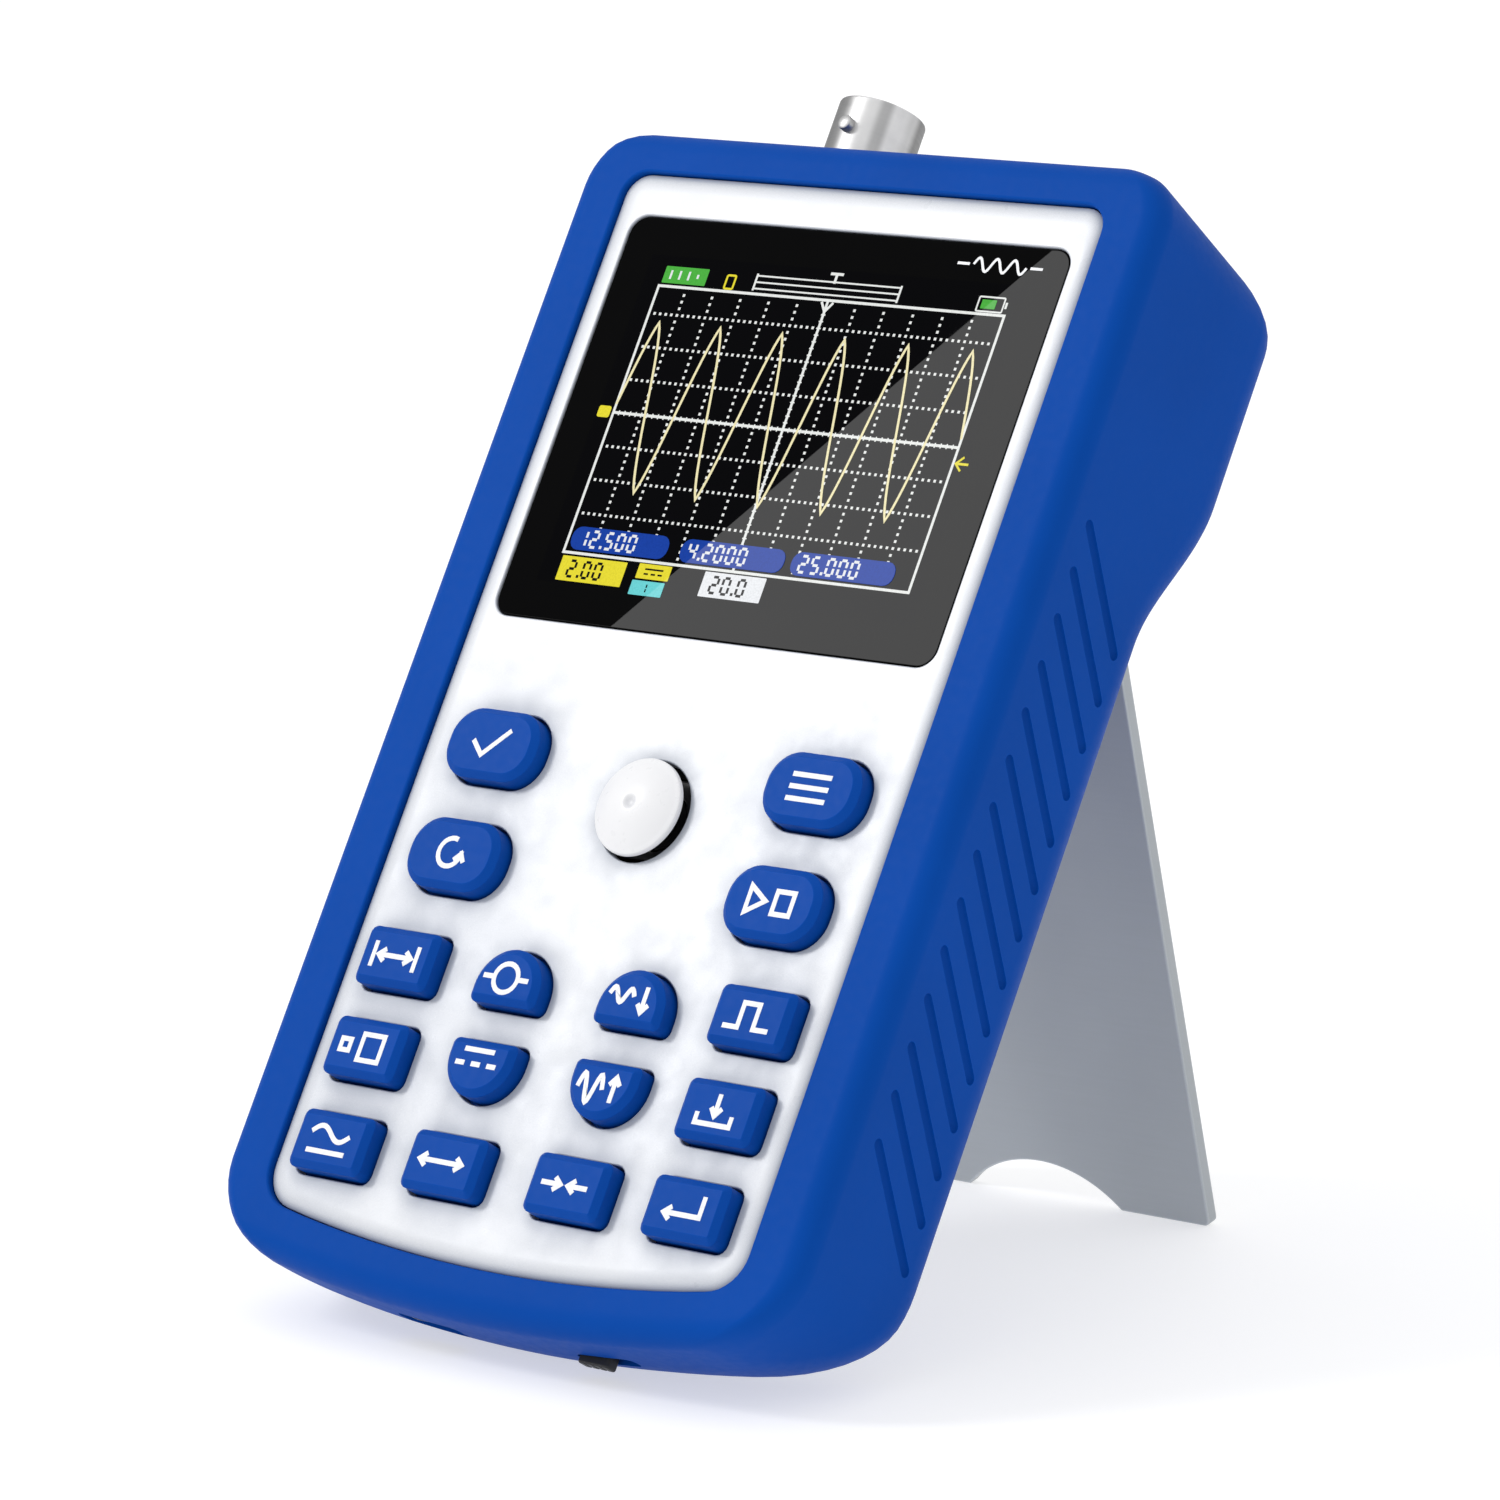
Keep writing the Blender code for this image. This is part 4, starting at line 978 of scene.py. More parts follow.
def build_keys(sizes, colours):
    material = moulded("blue_key_plastic", colours.keys, 0.45, 0.003, 3000, specular=0.06)
    for name, kind in key_names():
        centre = middle(name)
        mesh = stack_mesh(name, key_layers(name, kind, sizes.key_rise / MM))
        place(f"{name}_cap", mesh, material, name, [name], (centre.x, 0, centre.z))


def sine(start, end, height, periods, steps=20, level=0.0):
    points = []
    for step in range(steps + 1):
        share = step / steps
        rise = height * math.sin(share * periods * 2 * math.pi)
        points.append((start + (end - start) * share, level + rise))
    return points


def arrow(tip, direction, size=0.85):
    """Two short strokes that meet at the tip and open away from the direction."""
    back = Vector(direction).normalized() * -size
    side = Vector((-back.y, back.x)) * 0.8
    spot = Vector(tip)
    return [tuple(spot + back + side), tuple(spot), tuple(spot + back - side)]


def key_marks():
    """The drawing on each key, as lines of (x, z) points and whether each line is closed."""
    bars = [([(-2.5, z), (2.5, z)], False) for z in (-1.3, 0.0, 1.3)]
    play = ([(-2.7, -1.4), (-0.5, 0.0), (-2.7, 1.4)], True)
    stop = ([(0.7, -1.2), (2.9, -1.2), (2.9, 1.2), (0.7, 1.2)], True)
    again = arc((0, 0), 1.55, 70, 370, 18)
    small = (sine(-2.7, 0.5, 0.75, 1.5), False)
    tall = (sine(-2.7, 0.5, 1.5, 1.5), False)
    pulse = [(-2.9, -1.3), (-1.0, -1.3), (-1.0, 1.3), (1.0, 1.3), (1.0, -1.3), (2.9, -1.3)]
    return {
        "key_oval_left_1": [([(-2.2, 0.1), (-0.6, -1.4), (2.4, 1.6)], False)],
        "key_oval_left_2": [(again, False), (arrow((1.53, 0.0), (0.1, 1)), False)],
        "key_oval_right_1": bars,
        "key_oval_right_2": [play, stop],
        "key_r1_c1": [
            ([(-2.9, -1.4), (-2.9, 1.4)], False),
            ([(2.9, -1.4), (2.9, 1.4)], False),
            ([(-2.0, 0), (2.0, 0)], False),
            (arrow((2.2, 0), (1, 0)), False),
            (arrow((-2.2, 0), (-1, 0)), False),
        ],
        "key_r1_c2": [
            (arc((0, -0.3), 1.55, 0, 350, 24), True),
            ([(-3.0, -0.3), (-1.55, -0.3)], False),
            ([(1.55, -0.3), (3.0, -0.3)], False),
        ],
        "key_r1_c3": [small, ([(1.9, 1.2), (1.9, -1.3)], False), (arrow((1.9, -1.5), (0, -1)), False)],
        "key_r1_c4": [(pulse, False)],
        "key_r2_c1": [
            ([(-2.9, -0.6), (-1.7, -0.6), (-1.7, 0.6), (-2.9, 0.6)], True),
            ([(-0.2, -1.4), (2.6, -1.4), (2.6, 1.4), (-0.2, 1.4)], True),
        ],
        "key_r2_c2": [
            ([(-2.7, 0.3), (-1.5, 0.3)], False),
            ([(-0.6, 0.3), (0.6, 0.3)], False),
            ([(1.5, 0.3), (2.7, 0.3)], False),
            ([(-2.0, 1.8), (2.0, 1.8)], False),
        ],
        "key_r2_c3": [tall, ([(1.9, -1.2), (1.9, 1.3)], False), (arrow((1.9, 1.5), (0, 1)), False)],
        "key_r2_c4": [
            ([(-2.2, -0.4), (-2.2, -1.5), (2.2, -1.5), (2.2, -0.4)], False),
            ([(0, 1.7), (0, -0.4)], False),
            (arrow((0, -0.6), (0, -1)), False),
        ],
        "key_r3_c1": [(sine(-2.6, 2.6, 0.75, 1, level=0.7), False), ([(-2.6, -1.3), (2.6, -1.3)], False)],
        "key_r3_c2": [
            ([(-2.6, 0), (2.6, 0)], False),
            (arrow((-2.8, 0), (-1, 0)), False),
            (arrow((2.8, 0), (1, 0)), False),
        ],
        "key_r3_c3": [
            ([(-3.0, 0), (-0.7, 0)], False),
            ([(3.0, 0), (0.7, 0)], False),
            (arrow((-0.5, 0), (1, 0)), False),
            (arrow((0.5, 0), (-1, 0)), False),
        ],
        "key_r3_c4": [
            ([(2.4, 1.5), (2.4, -0.7), (-1.9, -0.7)], False),
            (arrow((-2.1, -0.7), (-1, 0)), False),
        ],
    }


def build_marks(sizes, colours):
    material = printed("white_pad_print", colours.legend)
    width = sizes.mark_stroke / MM
    film = sizes.film / MM
    enlarge = 1.15
    for name, lines in key_marks().items():
        low = span(name)[0]
        centre = middle(name)

        def fill(work):
            for index, (points, closed) in enumerate(lines):
                step = index * 0.004
                points = [(x * enlarge, z * enlarge) for x, z in points]
                add_stroke(work, points, width, low.y - film - step, low.y + film, closed)

        mesh = mesh_of(f"{name}_mark", fill)
        place(f"{name}_mark", mesh, material, name, at=(centre.x, 0, centre.z), even=False)


# --------------------------------------------------------------- panel, glass


def disc_outline(radius, steps=72):
    return lambda grow: arc((0, 0), radius + grow, 0, 360 - 360 / steps, steps - 1)


def moved(outline, x, z):
    return [(a + x, b + z) for a, b in outline]


def add_panel_holes(work, sizes):
    """The cutters of the key holes and of the round button's hole, clear of each other."""
    front = PANEL_LOW.y
    soft = sizes.key_rim / MM
    for name, kind in key_names():
        centre = middle(name)

        def outline(grow, name=name, kind=kind, centre=centre):
            return moved(key_outline(name, kind, KEY_CLEARANCE + grow), centre.x, centre.z)

        add_stack(work, cutter_layers(outline, front, 6.0, soft))
    centre = middle("nav_cap")
    disc = disc_outline(BUTTON_HOLE)
    add_stack(work, cutter_layers(lambda grow: moved(disc(grow), centre.x, centre.z), front, 6.0, soft))


def glass_outline(grow):
    half_height = (GLASS_HIGH.z - GLASS_LOW.z) / 2 + grow
    centre = (0, middle("display_glass").z)
    return box_outline(GLASS_HIGH.x + grow, half_height, GLASS_RADIUS + grow, 10, centre)


def build_panel(sizes, colours):
    soft = sizes.panel_rim / MM
    layers = rim(panel_outline, PANEL_LOW.y, soft, -1, 10, 0.55) + [(PANEL_HIGH.y, panel_outline(0.0))]
    mesh = stack_mesh("front_panel", layers)
    seat = cutter_layers(lambda grow: glass_outline(GAP / 3 + grow), PANEL_LOW.y, GLASS_HIGH.y + GAP, 0.25)
    mesh = combine(mesh, stack_mesh("glass_seat", seat), "DIFFERENCE")
    window = box_outline(*WINDOW, 1.0, 6, (0, middle("display_glass").z))
    mesh = combine(mesh, stack_mesh("window", [(-2.0, window), (5.0, window)]), "DIFFERENCE")
    mesh = combine(mesh, mesh_of("holes", lambda work: add_panel_holes(work, sizes)), "DIFFERENCE")
    enamel = painted_panel(colours.panel)
    place("white_face_panel", mesh, enamel, "instrument", ["front_panel"])


def build_glass(sizes, colours):
    layers = rim(glass_outline, GLASS_LOW.y, 0.18, -1, 4) + [(GLASS_HIGH.y, glass_outline(0.0))]
    mesh = stack_mesh("display_glass", layers)
    place("screen_glass", mesh, glass_finish(colours), "instrument", ["display_glass"])

    def emblem(work):
        front, back = GLASS_LOW.y - sizes.film / MM, GLASS_LOW.y + FILM_FOOT
        level, width = 135.6, 0.34
        add_stroke(work, sine(19.8, 27.6, 0.85, 3, 60, level), width, front, back)
        for start in (17.4, 28.2):
            add_stroke(work, [(start, level), (start + 1.8, level)], width, front, back)

    ink = printed("white_glass_print", colours.legend)
    place("glass_emblem", mesh_of("emblem", emblem), ink, "instrument", even=False)


# ------------------------------------------------------- picture on the glass

CELL = 4.41
GRID_COLUMNS = 12
GRID_ROWS = 8
GRID_LEFT = -26.15
GRID_TOP = 129.4
ROW_LIFT = 0.17
DOTS_PER_CELL = 5
GRID_LINE = 0.34
TICK_WIDTH = 0.16


def cell(column, row):
    """A place on the display, counted in grid cells right of and below the grid's top left corner."""
    return (GRID_LEFT + column * CELL, GRID_TOP - row * CELL)


def box_cells(left, top, right, bottom, radius=0.2):
    """An outline between two corners counted in grid cells."""
    x0, z0 = cell(left, bottom)
    x1, z1 = cell(right, top)
    return box_outline((x1 - x0) / 2, (z1 - z0) / 2, radius, 4, ((x0 + x1) / 2, (z0 + z1) / 2))


def add_flat(work, outline, lift, film):
    """A thin raised field on the glass, in the given layer above it."""
    front = GLASS_LOW.y
    add_stack(work, [(front - film * lift, outline), (front + FILM_FOOT, outline)])


def add_line(work, points, width, lift, film, closed=False):
    add_stroke(work, points, width, GLASS_LOW.y - film * lift, GLASS_LOW.y + FILM_FOOT, closed)


def add_digits(work, text, left, middle_row, height, lift, film):
    """Plain seven-bar numerals and dots, drawn from left to right."""
    bars = {
        "a": ((0, 1), (1, 1)),
        "b": ((1, 1), (1, 0.5)),
        "c": ((1, 0.5), (1, 0)),
        "d": ((0, 0), (1, 0)),
        "e": ((0, 0.5), (0, 0)),
        "f": ((0, 1), (0, 0.5)),
        "g": ((0, 0.5), (1, 0.5)),
    }
    shapes = {"0": "abcdef", "1": "bc", "2": "abged", "4": "fgbc", "5": "afgcd"}
    tall = height * CELL
    wide = tall * 0.5
    width = tall * 0.17
    x, centre = cell(left, middle_row)
    for mark in text:
        if mark == ".":
            dot = box_outline(width * 0.55, width * 0.55, 0.05, 2, (x, centre - tall / 2 + width * 0.3))
            add_flat(work, dot, lift, film)
            x += width * 1.6
            continue
        for order, name in enumerate(shapes[mark]):
            start, end = [(x + u * wide, centre + (v - 0.5) * tall) for u, v in bars[name]]
            level = lift + 0.04 * order
            line = Vector((end[0] - start[0], end[1] - start[1])).normalized() * width * 0.4
            first = (start[0] + line.x, start[1] + line.y)
            last = (end[0] - line.x, end[1] - line.y)
            add_line(work, [first, last], width, level, film)
        x += wide + width * 2.2


def wave_points():
    """The signal as places on the display: rounded triangles from peak to trough and back."""
    period, first, fall, high, low, steps = 2.18, 0.48, 0.56, 1.08, 6.1, 16
    places = []
    for index in range(-1, 6):
        peak = first + index * period
        trough = peak + fall * period
        for start, end, top, bottom in ((peak, trough, high, low), (trough, peak + period, low, high)):
            for step in range(steps):
                share = step / steps
                eased = 0.5 * share + 0.5 * (0.5 - 0.5 * math.cos(share * math.pi))
                places.append((start + (end - start) * share, top + (bottom - top) * eased))
    return [cell(column, row) for column, row in places if 0 <= column <= GRID_COLUMNS]


def add_dots(work, size, film):
    """The dotted lines of the grid."""
    for column in range(1, GRID_COLUMNS):
        if column == GRID_COLUMNS // 2:
            continue
        for step in range(2, GRID_ROWS * DOTS_PER_CELL + 1):
            spot = cell(column, step / DOTS_PER_CELL - ROW_LIFT)
            add_flat(work, box_outline(size / 2, size / 2, 0, 1, spot), 0.9, film)
    for row in range(1, GRID_ROWS):
        if row == GRID_ROWS // 2:
            continue
        for step in range(1, GRID_COLUMNS * DOTS_PER_CELL):
            if step % DOTS_PER_CELL == 0:
                continue
            spot = cell(step / DOTS_PER_CELL, row - ROW_LIFT)
            add_flat(work, box_outline(size / 2, size / 2, 0, 1, spot), 0.9, film)


def add_grid(work, sizes):
    film = sizes.film / MM
    corners = [cell(0, 0), cell(GRID_COLUMNS, 0), cell(GRID_COLUMNS, GRID_ROWS), cell(0, GRID_ROWS)]
    add_line(work, corners, GRID_LINE, 1.0, film, True)
    half = GRID_COLUMNS / 2
    centre = GRID_ROWS / 2 - ROW_LIFT
    tick = 0.07
    add_line(work, [cell(0, centre), cell(GRID_COLUMNS, centre)], GRID_LINE, 1.05, film)
    add_line(work, [cell(half, 0), cell(half, GRID_ROWS)], GRID_LINE, 1.1, film)
    for step in range(1, GRID_COLUMNS * DOTS_PER_CELL):
        column = step / DOTS_PER_CELL
        add_line(work, [cell(column, centre - tick), cell(column, centre + tick)], TICK_WIDTH, 0.95, film)
    for step in range(2, GRID_ROWS * DOTS_PER_CELL):
        row = step / DOTS_PER_CELL - ROW_LIFT
        add_line(work, [cell(half - tick, row), cell(half + tick, row)], TICK_WIDTH, 0.95, film)
    add_dots(work, sizes.dot_size / MM, film)
    for row in (-0.16, -0.35, -0.54):
        add_line(work, [cell(3.3, row), cell(8.3, row)], 0.2, 1.0, film)
    for column in (3.3, 8.3):
        add_line(work, [cell(column, -0.1), cell(column, -0.6)], 0.26, 1.15, film)
    add_line(work, [cell(5.78, -0.78), cell(6.22, -0.78)], GRID_LINE, 1.2, film)
    add_line(work, [cell(6, -0.74), cell(6, -0.5)], GRID_LINE, 1.25, film)
    add_line(work, [cell(5.8, 0.06), cell(6.0, 0.34), cell(6.2, 0.06)], 0.3, 1.3, film)
    add_line(work, box_cells(11.0, -0.5, 11.86, -0.08, 0.15), 0.2, 1.0, film, True)
    add_line(work, [cell(11.95, -0.38), cell(11.95, -0.2)], 0.3, 1.0, film)


def build_picture(sizes, colours):
    """The lit picture: grid, signal, status fields and their plain numerals."""
    film = sizes.film / MM

    def trace(work):
        add_line(work, wave_points(), sizes.trace_width / MM, 1.5, film)

    def pills(work):
        for left, right in ((0.12, 3.55), (4.0, 7.6), (7.85, 11.35)):
            add_flat(work, box_cells(left, 7.22, right, 7.9, 1.3), 1.6, film)

    def yellow(work):
        add_flat(work, box_cells(0.05, 8.1, 2.35, 8.82, 0.1), 1.0, film)
        add_flat(work, box_cells(2.78, 8.07, 3.92, 8.5, 0.1), 1.0, film)
        add_line(work, box_cells(2.28, -0.48, 2.58, -0.08, 0.2), 0.26, 1.0, film, True)
        add_flat(work, box_cells(-0.55, 3.66, -0.12, 4.0, 0.3), 1.0, film)
        add_line(work, [cell(12.1, 4.28), cell(12.5, 4.28)], 0.3, 1.0, film)
        add_line(work, [cell(12.3, 4.08), cell(12.08, 4.28), cell(12.3, 4.48)], 0.26, 1.1, film)

    def cyan(work):
        add_flat(work, box_cells(2.72, 8.56, 3.86, 8.98, 0.1), 1.0, film)

    def green(work):
        add_flat(work, box_cells(0.05, -0.6, 1.58, -0.1, 0.1), 1.0, film)
        add_flat(work, box_cells(11.12, -0.42, 11.6, -0.16, 0.05), 1.0, film)

    def white(work):
        add_flat(work, box_cells(5.1, 8.08, 7.22, 8.8, 0.1), 1.0, film)
        for text, left in (("12.500", 0.42), ("4.2000", 4.3), ("25.000", 8.15)):
            add_digits(work, text, left, 7.56, 0.46, 2.0, film)
        for left in (0.3, 0.62, 0.94, 1.26):
            height = 0.26 if left < 1.2 else 0.12
            add_line(work, [cell(left, -0.35 + height / 2), cell(left, -0.35 - height / 2)], 0.3, 1.5, film)

    def dark(work):
        add_digits(work, "2.00", 0.38, 8.46, 0.46, 1.5, film)
        add_digits(work, "20.0", 5.42, 8.44, 0.46, 1.5, film)
        add_digits(work, "1", 3.15, 8.77, 0.26, 1.5, film)
        add_line(work, [cell(3.03, 8.22), cell(3.67, 8.22)], 0.22, 1.5, film)
        for left in (3.03, 3.28, 3.52):
            add_line(work, [cell(left, 8.36), cell(left + 0.15, 8.36)], 0.22, 1.5, film)

    ink = glowing("screen_dark", (0.01, 0.01, 0.012), 0.5)
    for name, fill, material in (
        ("screen_grid", lambda work: add_grid(work, sizes), glowing("screen_grid_glow", colours.grid)),
        ("screen_trace", trace, glowing("screen_trace_glow", colours.trace)),
        ("screen_readings", pills, glowing("screen_blue_glow", colours.pill)),
        ("screen_yellow_fields", yellow, glowing("screen_yellow_glow", colours.yellow)),
        ("screen_cyan_field", cyan, glowing("screen_cyan_glow", colours.cyan)),
        ("screen_green_fields", green, glowing("screen_green_glow", colours.green)),
        ("screen_white_figures", white, glowing("screen_white_glow", (0.85, 0.87, 0.9))),
        ("screen_dark_figures", dark, ink),
    ):
        place(name, mesh_of(name, fill), material, "instrument", even=False)


# ------------------------------------------------------------- round button


def build_round_button(sizes, colours):
    """White cap over the ring, stem and base of the five-way control."""
    low, high = span("nav_cap")
    centre = (low + high) / 2
    radius = (high.x - low.x) / 2
    crown, edge, rim_low, bottom = -low.y, 1.0, 0.5, -high.y
    neck, bore, bore_top = 4.4, 1.85, 0.9
    soft, soft_high = 0.45, 0.35
    flat = radius - soft
    dimple = [(0, 0.5), (0.25, 0.48), (0.5, 0.38), (0.75, 0.18), (0.95, 0.07), (1.1, 0.055)]
    profile = [(reach, crown - depth) for reach, depth in dimple]
    for step in range(4, 21):
        share = 0.16 + 0.84 * (step - 3) / 17
        profile.append((flat * share, crown - (crown - edge - soft_high) * share * share))
    profile += [(flat + soft * math.sin(a), edge + soft_high * math.cos(a)) for a in quarter(5)[2:]]
    profile += [(radius, rim_low + 0.1), (radius - 0.1, rim_low), (neck, rim_low), (neck, bottom)]
    profile += [(bore, bottom), (bore, bore_top), (0, bore_top)]
    mesh = turned_mesh("nav_cap", profile, 96)
    facing = Matrix.Rotation(math.pi / 2, 4, "X")
    # Painted shade greys the round button's dimple and the foot of its dome, within 1.6 mm.
    material = moulded("white_button_plastic", colours.cap, 0.3, 0.002, 3000, 1.05, hollow=1.6)
    at = (centre.x, 0, centre.z)
    place("round_button", mesh, material, "nav_cap", ["nav_cap"], at, facing)
    black = black_plastic()
    for node in ("nav_base", "nav_ring", "nav_stem"):
        dress(node, black)


def black_plastic():
    return moulded("black_plastic_finish", (0.012, 0.012, 0.014), 0.42, 0.004, 2400, 2.2)


# -------------------------------------------------------------------- socket


def build_socket(sizes, colours):
    """Bayonet barrel with a stepped mouth and two lugs, its insulator and its centre contact."""
    low, high = span("socket_barrel")
    axis = middle("socket_insulator")
    top, base = high.z, low.z
    bore, outer = BARREL_BORE, BARREL_RADIUS
    floor = top - BARREL_BORE_DEPTH
    profile = [(0, floor), (bore, floor), (bore, top - 0.55), (bore + 0.12, top - 0.25), (bore + 0.4, top)]
    profile += [(outer - 0.3, top), (outer - 0.08, top - 0.09), (outer, top - 0.3), (outer, base + 2.2)]
    profile += [(outer + 0.9, base + 2.0), (outer + 0.9, base), (0, base)]
    mesh = turned_mesh("barrel", profile, 128)
    reach = max(high.y - axis.y, axis.y - low.y)
    for side in (-1, 1):
        dome = [(0, outer - 0.9), (LUG_RADIUS, outer - 0.9), (LUG_RADIUS, reach - 0.25)]
        dome += [(0.86, reach - 0.08), (0.7, reach), (0, reach)]
        lug = turned_mesh("lug", dome, 32)
        height = Matrix.Translation((0, 0, (top - LUG_DROP) * MM))
        lug.transform(height @ Matrix.Rotation(-side * math.pi / 2, 4, "X"))
        mesh = combine(mesh, lug, "UNION")
    # Painted reflection: (angle in degrees round the axis, tone) for the light and dark streaks that the
    # barrel's surroundings would mirror.
    reflection_streaks = [(-180, 0.6), (-130, 0.15), (-108, 0.24), (-92, 0.42), (-74, 0.75), (-61, 0.82), (-50, 0.5)]
    reflection_streaks += [(-44, 0.5), (-33, 0.95), (-20, 0.95), (-5, 0.7), (12, 0.2), (40, 0.1), (130, 0.9), (180, 0.6)]
    nickel = plated("nickel_plate", colours.nickel, 0.4, (0.15, 0.15, 4.0), (axis.x, axis.y), reflection_streaks)
    at = (axis.x, axis.y, 0)
    place("input_socket_barrel", mesh, nickel, "instrument", ["socket_barrel"], at)
    dress("socket_block", black_plastic())
    dress("socket_insulator", moulded("white_insulator_finish", (0.82, 0.82, 0.78), 0.45, 0.003, 2400, 1.05))
    dress("socket_contact", plated("gold_plate", (0.83, 0.6, 0.25), 0.28, (0.3, 0.3, 3.0)))


# ------------------------------------------------------- bottom, inside, back


def build_bottom_fittings(sizes, colours):
    """Ribbed slide knob of the power switch, and the port with its tongue."""
    low, high = span("switch_knob")
    centre = (low + high) / 2
    half_width = (high.x - low.x) / 2
    half_depth = (high.y - low.y) / 2

    def outline(grow):
        return box_outline(half_width + grow, half_depth + grow, 0.45 + grow, 5)

    layers = rim(outline, low.z, 0.3, -1, 4) + [(high.z - 0.3, outline(0.0)), (high.z, outline(-0.3))]
    mesh = stack_mesh("knob", layers)
    for index in (-1, 0, 1):
        notch = rod_mesh("notch", 0.26, -4, 4, 20)
        notch.transform(Matrix.Translation(Vector((index * 1.15, low.z - 0.08, 0)) * MM))
        mesh = combine(mesh, notch, "DIFFERENCE")
    standing = Matrix(((1, 0, 0, 0), (0, 0, -1, 0), (0, 1, 0, 0), (0, 0, 0, 1)))
    at = (centre.x, centre.y, 0)
    black = black_plastic()
    place("power_slide_knob", mesh, black, "power_knob", ["switch_knob"], at, standing)
    steel = brushed("pressed_steel", (0.56, 0.57, 0.59), 0.32, 1.0, (1, 1, 14))
    dress("switch_body", steel)
    dress("charging_port", steel)
    dress("port_tongue", black)


def build_inner_parts(sizes, colours):
    """Finishes for the boards and the parts on them, which show only through the openings."""
    dress("main_board", circuit_finish())
    dress("display_module", moulded("display_frame_finish", (0.03, 0.03, 0.035), 0.4, 0.004, 2000, 1.6))
    dress("contact_sheet", moulded("contact_rubber", (0.02, 0.02, 0.02), 0.7, 0.006, 1800, 1.3))
    dress("battery", moulded("battery_sleeve", (0.05, 0.13, 0.30), 0.35, 0.01, 260, 1.1))
    dress("input_shield", bpy.data.materials.get("pressed_steel"))
    for node in ("processor", "converter"):
        dress(node, black_plastic())


def build_screws(sizes, colours):
    """Pan-head screws with a cross recess."""
    steel = plated("zinc_screw", (0.50, 0.51, 0.53), 0.34, (1, 1, 1))
    for index in range(1, 5):
        low, high = span(f"cover_screw_{index}")
        centre = (low + high) / 2
        length = high.y - low.y - HEAD_HEIGHT
        profile = [(0, HEAD_HEIGHT), (0.9, 0.98), (1.5, 0.88), (1.95, 0.66), (2.15, 0.4)]
        profile += [(2.2, 0.18), (2.2, 0.05), (2.12, 0), (1.0, 0)]
        for turn in range(int(length / THREAD_PITCH) - 1):
            height = -THREAD_PITCH / 2 - turn * THREAD_PITCH
            profile += [(1.0, height), (0.78, height - THREAD_PITCH / 2)]
        profile += [(0.6, -length), (0, -length)]
        mesh = turned_mesh("screw", profile, 40)
        for angle in (0, 90):
            outline = box_outline(1.25, 0.25, 0.1, 3)
            tip = box_outline(0.35, 0.16, 0.1, 3)
            slot = stack_mesh("cross", [(0.15, tip), (1.6, outline)])
            turned = Matrix.Rotation(math.radians(angle + 20 * index), 4, "Z")
            upright = Matrix.Rotation(math.pi / 2, 4, "X") @ Matrix.Scale(-1, 4, (0, 1, 0))
            slot.transform(turned @ upright)
            slot.flip_normals()
            mesh = combine(mesh, slot, "DIFFERENCE")
        facing = Matrix.Rotation(-math.pi / 2, 4, "X")
        at = (centre.x, high.y - HEAD_HEIGHT, centre.z)
        place(f"back_screw_{index}", mesh, steel, "instrument", [f"cover_screw_{index}"], at, facing)


def stand_outline(grow):
    """The stand's plate below its hinge, with a bow cut out of its foot."""
    half, foot, top = STAND_HALF + grow, -STAND_LENGTH - grow, -0.95 + grow
    notch_half, notch_depth = STAND_NOTCH
    radius = (notch_half**2 + notch_depth**2) / (2 * notch_depth)
    span_deg = math.degrees(math.asin(notch_half / radius))
    bow = arc((0.0, -STAND_LENGTH - radius + notch_depth), radius - grow, 90 + span_deg, 90 - span_deg, 40)
    bow = [(x, max(z, foot)) for x, z in bow]
    foot_radius, top_radius = [radius + grow for radius in STAND_CORNERS]
    corners = [(bow[-1][0], foot, 0), (half, foot, foot_radius), (half, top, top_radius)]
    corners += [(-half, top, top_radius), (-half, foot, foot_radius)]
    return bow + rounded(corners, 5)[1:]


def build_stand(sizes, colours):
    """Plate with softened edges, rolled round the hinge pin at its upper end."""
    soft = sizes.stand_rim / MM
    front = rim(stand_outline, -STAND_HALF_THICK, soft, -1, 3)
    back = [(-y, outline) for y, outline in reversed(front)]
    mesh = stack_mesh("stand", front + back)
    barrel = rod_mesh("barrel", HINGE_RADIUS, -STAND_HALF, STAND_HALF, 48)
    barrel.transform(Matrix.Rotation(math.pi / 2, 4, "Y"))
    mesh = combine(mesh, barrel, "UNION")
    bore = rod_mesh("bore", PIN_HOLE, -40, 40, 32)
    bore.transform(Matrix.Rotation(math.pi / 2, 4, "Y"))
    mesh = combine(mesh, bore, "DIFFERENCE")
    opened = Matrix.Rotation(STAND_OPEN, 4, "X")
    plate_frame = LEANED @ Matrix.Translation(Vector(HINGE) * MM) @ opened
    metal = brushed("satin_stand_metal", colours.stand, 0.42, 0.35, (0.2, 0.2, 6), plate_frame)
    place("fold_out_stand", mesh, metal, "stand", ["stand_plate"], HINGE, opened)
    dress("stand_pin", bpy.data.materials.get("pressed_steel"))


def build_bumpers(sizes, colours):
    """Two rubber pads that the stand rests on when it is folded."""
    rubber = moulded("bumper_rubber", (0.016, 0.016, 0.017), 0.75, 0.008, 1600, 1.5)
    for name in ("stand_bumper_left", "stand_bumper_right"):
        low, high = span(name)
        centre = (low + high) / 2
        height = high.y - low.y
        soft = 0.7
        flat, shoulder = PAD_RADIUS - soft, height - soft
        profile = [(0, 0), (PAD_RADIUS, 0), (PAD_RADIUS, shoulder)]
        profile += [(flat + soft * math.cos(a), shoulder + soft * math.sin(a)) for a in quarter(6)[1:]]
        profile += [(1.2, height - 0.06), (0, height - 0.12)]
        mesh = turned_mesh("bumper", profile, 48)
        facing = Matrix.Rotation(-math.pi / 2, 4, "X")
        at = (centre.x, low.y, centre.z)
        place(f"{name}_pad", mesh, rubber, "instrument", [name], at, facing)


# --------------------------------------------------------------------- stage


